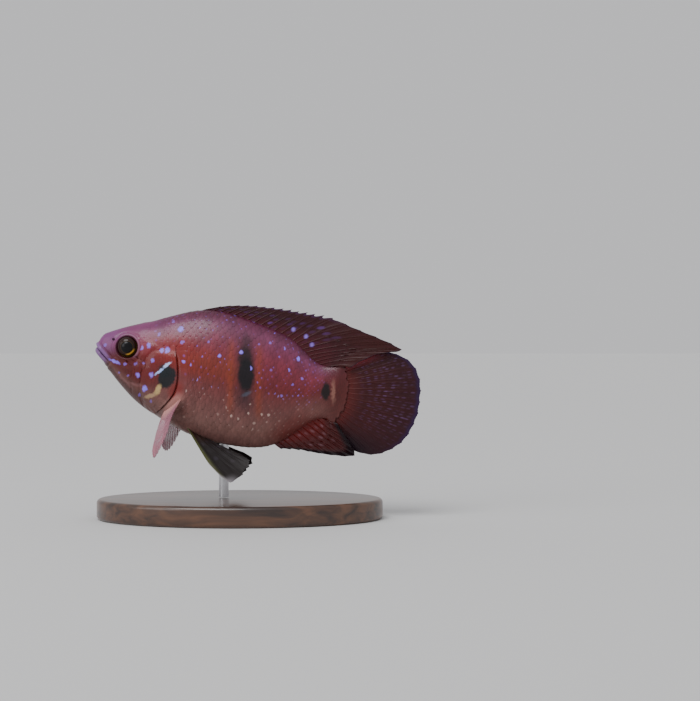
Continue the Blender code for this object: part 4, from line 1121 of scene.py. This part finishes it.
# The eyes are cast balls with a clear gloss over them: a round black pupil that bulges as a
# fish's lens does, a dark iris with a gold arc low at the rear, and a dull outer ring.
PUPIL = 1.4
LENS_PROUD = 0.14
GOLD_MIDDLE = 315
ball_rings = np.array([0.12, 0.3, 0.5, 0.7, 0.9, 1.08, 1.22, 1.32, 1.37, 1.41, 1.46, 1.52, 1.6,
                       1.7, 1.8, 1.9, 2.0, 2.12, 2.2, 2.26, 2.32, 2.38, 2.44, 2.5, 2.55, 2.585])
glazed_eye = new_finish("glazed_eye", 0.35, 0.55, 0.02, 0.1)
glazed_eye.node_tree.nodes["Principled BSDF"].inputs["Coat IOR"].default_value = 1.34
shade(glazed_eye, "Base Color", stored(glazed_eye.node_tree, "eye_paint")["Color"])
for side, name in ((-1, "left"), (1, "right")):
    angle = np.linspace(0, math.tau, 96, endpoint=False)[None]
    r = ball_rings[:, None]
    out = EYE_DEPTH * np.sqrt(1 - np.minimum(1, r / EYE_RADIUS) ** 2)
    out += LENS_PROUD * np.sqrt(np.clip(1 - (r / PUPIL) ** 2, 0, 1)) - 0.05 * hump(r, 1.6, 0.25)
    back_rings = np.linspace(0, math.pi / 2, 12)[1:, None]
    r_all = np.concatenate([r, EYE_RADIUS * np.cos(back_rings[:-1])]) + 0 * angle
    out_all = np.concatenate([out, -EYE_DEPTH * np.sin(back_rings[:-1])]) + 0 * angle
    reach = float(side_of(*EYE_CENTRE)) + EYE_PROUD - EYE_DEPTH
    x = EYE_CENTRE[0] + r_all * np.cos(angle)
    z = EYE_CENTRE[1] + r_all * np.sin(angle)
    y = side * (reach + out_all)
    front = np.array([EYE_CENTRE[0], side * (reach + EYE_DEPTH + LENS_PROUD), EYE_CENTRE[1]])
    rear = np.array([EYE_CENTRE[0], side * (reach - EYE_DEPTH), EYE_CENTRE[1]])
    eye, ring, spot = drawn_out_sphere(f"eyeball_{name}", posed(np.stack([x, y, z], -1)),
                                       posed(front), posed(rear))
    radius = np.where(ring == 0, 0, r_all[np.clip(ring - 1, 0, len(r_all) - 1), spot])
    radius = np.where(ring > len(ball_rings), EYE_RADIUS, radius)
    around = np.degrees(angle[0][spot])
    away = np.abs((around - GOLD_MIDDLE + 180) % 360 - 180)
    colour = np.ones((len(ring), 3)) * tone(26, 13, 12)
    colour = over(colour, (54, 22, 16), hump(radius, 2.05, 0.25) * 0.6)
    colour = over(colour, (216, 164, 52), hump(radius, 1.72 + 0.0022 * away, 0.17) * smooth(52, 20, away))
    colour = over(colour, (110, 76, 30), hump(radius, 1.5, 0.05) * 0.4)
    colour = over(colour, (112, 104, 44), hump(radius, 2.32, 0.1) * smooth(100, 50, away) * 0.6)
    colour = over(colour, (46, 16, 18), smooth(2.42, 2.52, radius))
    colour = over(colour, (5, 4, 7), smooth(1.46, 1.39, radius))
    paint(eye, "eye_paint", colour)
    tidy_normals(eye, 80)
    eye.data.materials.append(glazed_eye)
    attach(eye, "root")
    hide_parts(f"eye_{name}")

# The stand's base is a flat oval board of walnut with a rounded edge, sanded and lacquered.
# Its grain runs the long way.
walnut = new_finish("lacquered_walnut", 0.35, 0.5, 0.18)
tree = walnut.node_tree
object_place = tree.nodes.new("ShaderNodeTexCoord").outputs["Object"]
stretch = add_node(tree, "ShaderNodeMapping", {"Vector": object_place, "Scale": (40, 520, 520)})
figure = add_node(tree, "ShaderNodeTexNoise", {
    "Vector": stretch.outputs[0], "Scale": 1.0, "Detail": 6, "Distortion": 0.6})
ramp = add_node(tree, "ShaderNodeValToRGB", {0: figure.outputs["Fac"]})
stops = ramp.color_ramp.elements
for stop, position, stain in ((stops[0], 0.32, (44, 27, 20)), (stops[1], 0.7, (96, 62, 42))):
    stop.position = position
    stop.color = (*tone(*stain), 1)
pores = add_node(tree, "ShaderNodeBump", {
    "Strength": 0.25, "Distance": 0.00004, "Height": figure.outputs["Fac"]})
shade(walnut, "Base Color", ramp.outputs[0])
shade(walnut, "Normal", pores.outputs[0])
BASE_SIZE = (70, 42, 5)
BASE_EDGE = 1.0
bpy.ops.mesh.primitive_cylinder_add(vertices=256, radius=0.5, depth=1)
base = bpy.context.active_object
base.name = "lacquered_base"
base.scale = [side * MM for side in BASE_SIZE]
base.location = (0, 0, BASE_SIZE[2] / 2 * MM)
bpy.ops.object.transform_apply(location=True, rotation=False, scale=True)
soft_edge = base.modifiers.new("Edge", "BEVEL")
soft_edge.width = BASE_EDGE * MM
soft_edge.segments = 6
soft_edge.limit_method = "ANGLE"
bpy.ops.object.modifier_apply(modifier="Edge")
tidy_normals(base, 40)
base.data.materials.append(walnut)
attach(base, "root")
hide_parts("stand_base")

# The rod is a short length of steel that stands in the base and holds the fish at its belly.
# It is brushed as it turns, so its fine lines run round it.
steel = new_finish("brushed_steel", 0.3)
tree = steel.node_tree
tree.nodes["Principled BSDF"].inputs["Metallic"].default_value = 1.0
tree.nodes["Principled BSDF"].inputs["Base Color"].default_value = (0.56, 0.56, 0.58, 1)
object_place = tree.nodes.new("ShaderNodeTexCoord").outputs["Object"]
stretch = add_node(tree, "ShaderNodeMapping", {"Vector": object_place, "Scale": (300, 300, 9000)})
lines = add_node(tree, "ShaderNodeTexNoise", {
    "Vector": stretch.outputs[0], "Scale": 1.0, "Detail": 2})
gloss = add_node(tree, "ShaderNodeMapRange", {
    "Value": lines.outputs["Fac"], "To Min": 0.2, "To Max": 0.42})
shade(steel, "Roughness", gloss.outputs[0])
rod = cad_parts["stand_rod"]
rod.data.materials.clear()
rod.data.materials.append(steel)

# A plain pale floor, a pale room and soft studio light from high on the left and from one side.
bpy.ops.mesh.primitive_plane_add(size=40, location=(0, 0, 0))
floor = bpy.context.active_object
floor.name = "studio_floor"
pale_floor = new_finish("pale_floor", 0.9, specular=0.1)
floor_shader = pale_floor.node_tree.nodes["Principled BSDF"]
floor_shader.inputs["Base Color"].default_value = (0.64, 0.64, 0.64, 1)
floor.data.materials.append(pale_floor)
world = bpy.data.worlds.new("pale_room")
world.use_nodes = True
world.node_tree.nodes["Background"].inputs["Color"].default_value = (0.88, 0.88, 0.9, 1)
world.node_tree.nodes["Background"].inputs["Strength"].default_value = 0.75
bpy.context.scene.world = world
sun_data = bpy.data.lights.new("high_left", "SUN")
sun_data.energy = 1.7
sun_data.angle = math.radians(30)
side_data = bpy.data.lights.new("side", "AREA")
side_data.energy = 0.5
side_data.size = 0.25
for name, lamp_data, place in (("high_left", sun_data, (-0.25, -0.5, 0.8)),
                               ("side", side_data, (-0.35, -0.3, 0.2))):
    lamp = bpy.data.objects.new(name, lamp_data)
    lamp.location = place
    lamp.rotation_euler = (Vector((0, 0, 0.04)) - Vector(place)).to_track_quat("-Z", "Y").to_euler()
    bpy.context.scene.collection.objects.link(lamp)

# The camera looks level at the fish's left side, as the photograph does.
# The snout lies this many of the photograph's pixels to the left of its middle and above it.
PIXEL = 0.244 * MM
SNOUT_LEFT, SNOUT_ABOVE = 254, 3.5
CAMERA_AWAY = 0.35
snout = posed(np.array([0.0, 0.0, 0.0]))
camera_data = bpy.data.cameras.new("camera")
camera_data.lens = 73.3
camera_data.sensor_width = 36
camera = bpy.data.objects.new("camera", camera_data)
camera.location = (snout[0] + SNOUT_LEFT * PIXEL, -CAMERA_AWAY, snout[2] - SNOUT_ABOVE * PIXEL)
camera.rotation_euler = (math.pi / 2, 0, 0)
bpy.context.scene.collection.objects.link(camera)
bpy.context.scene.camera = camera

bpy.context.view_layer.update()
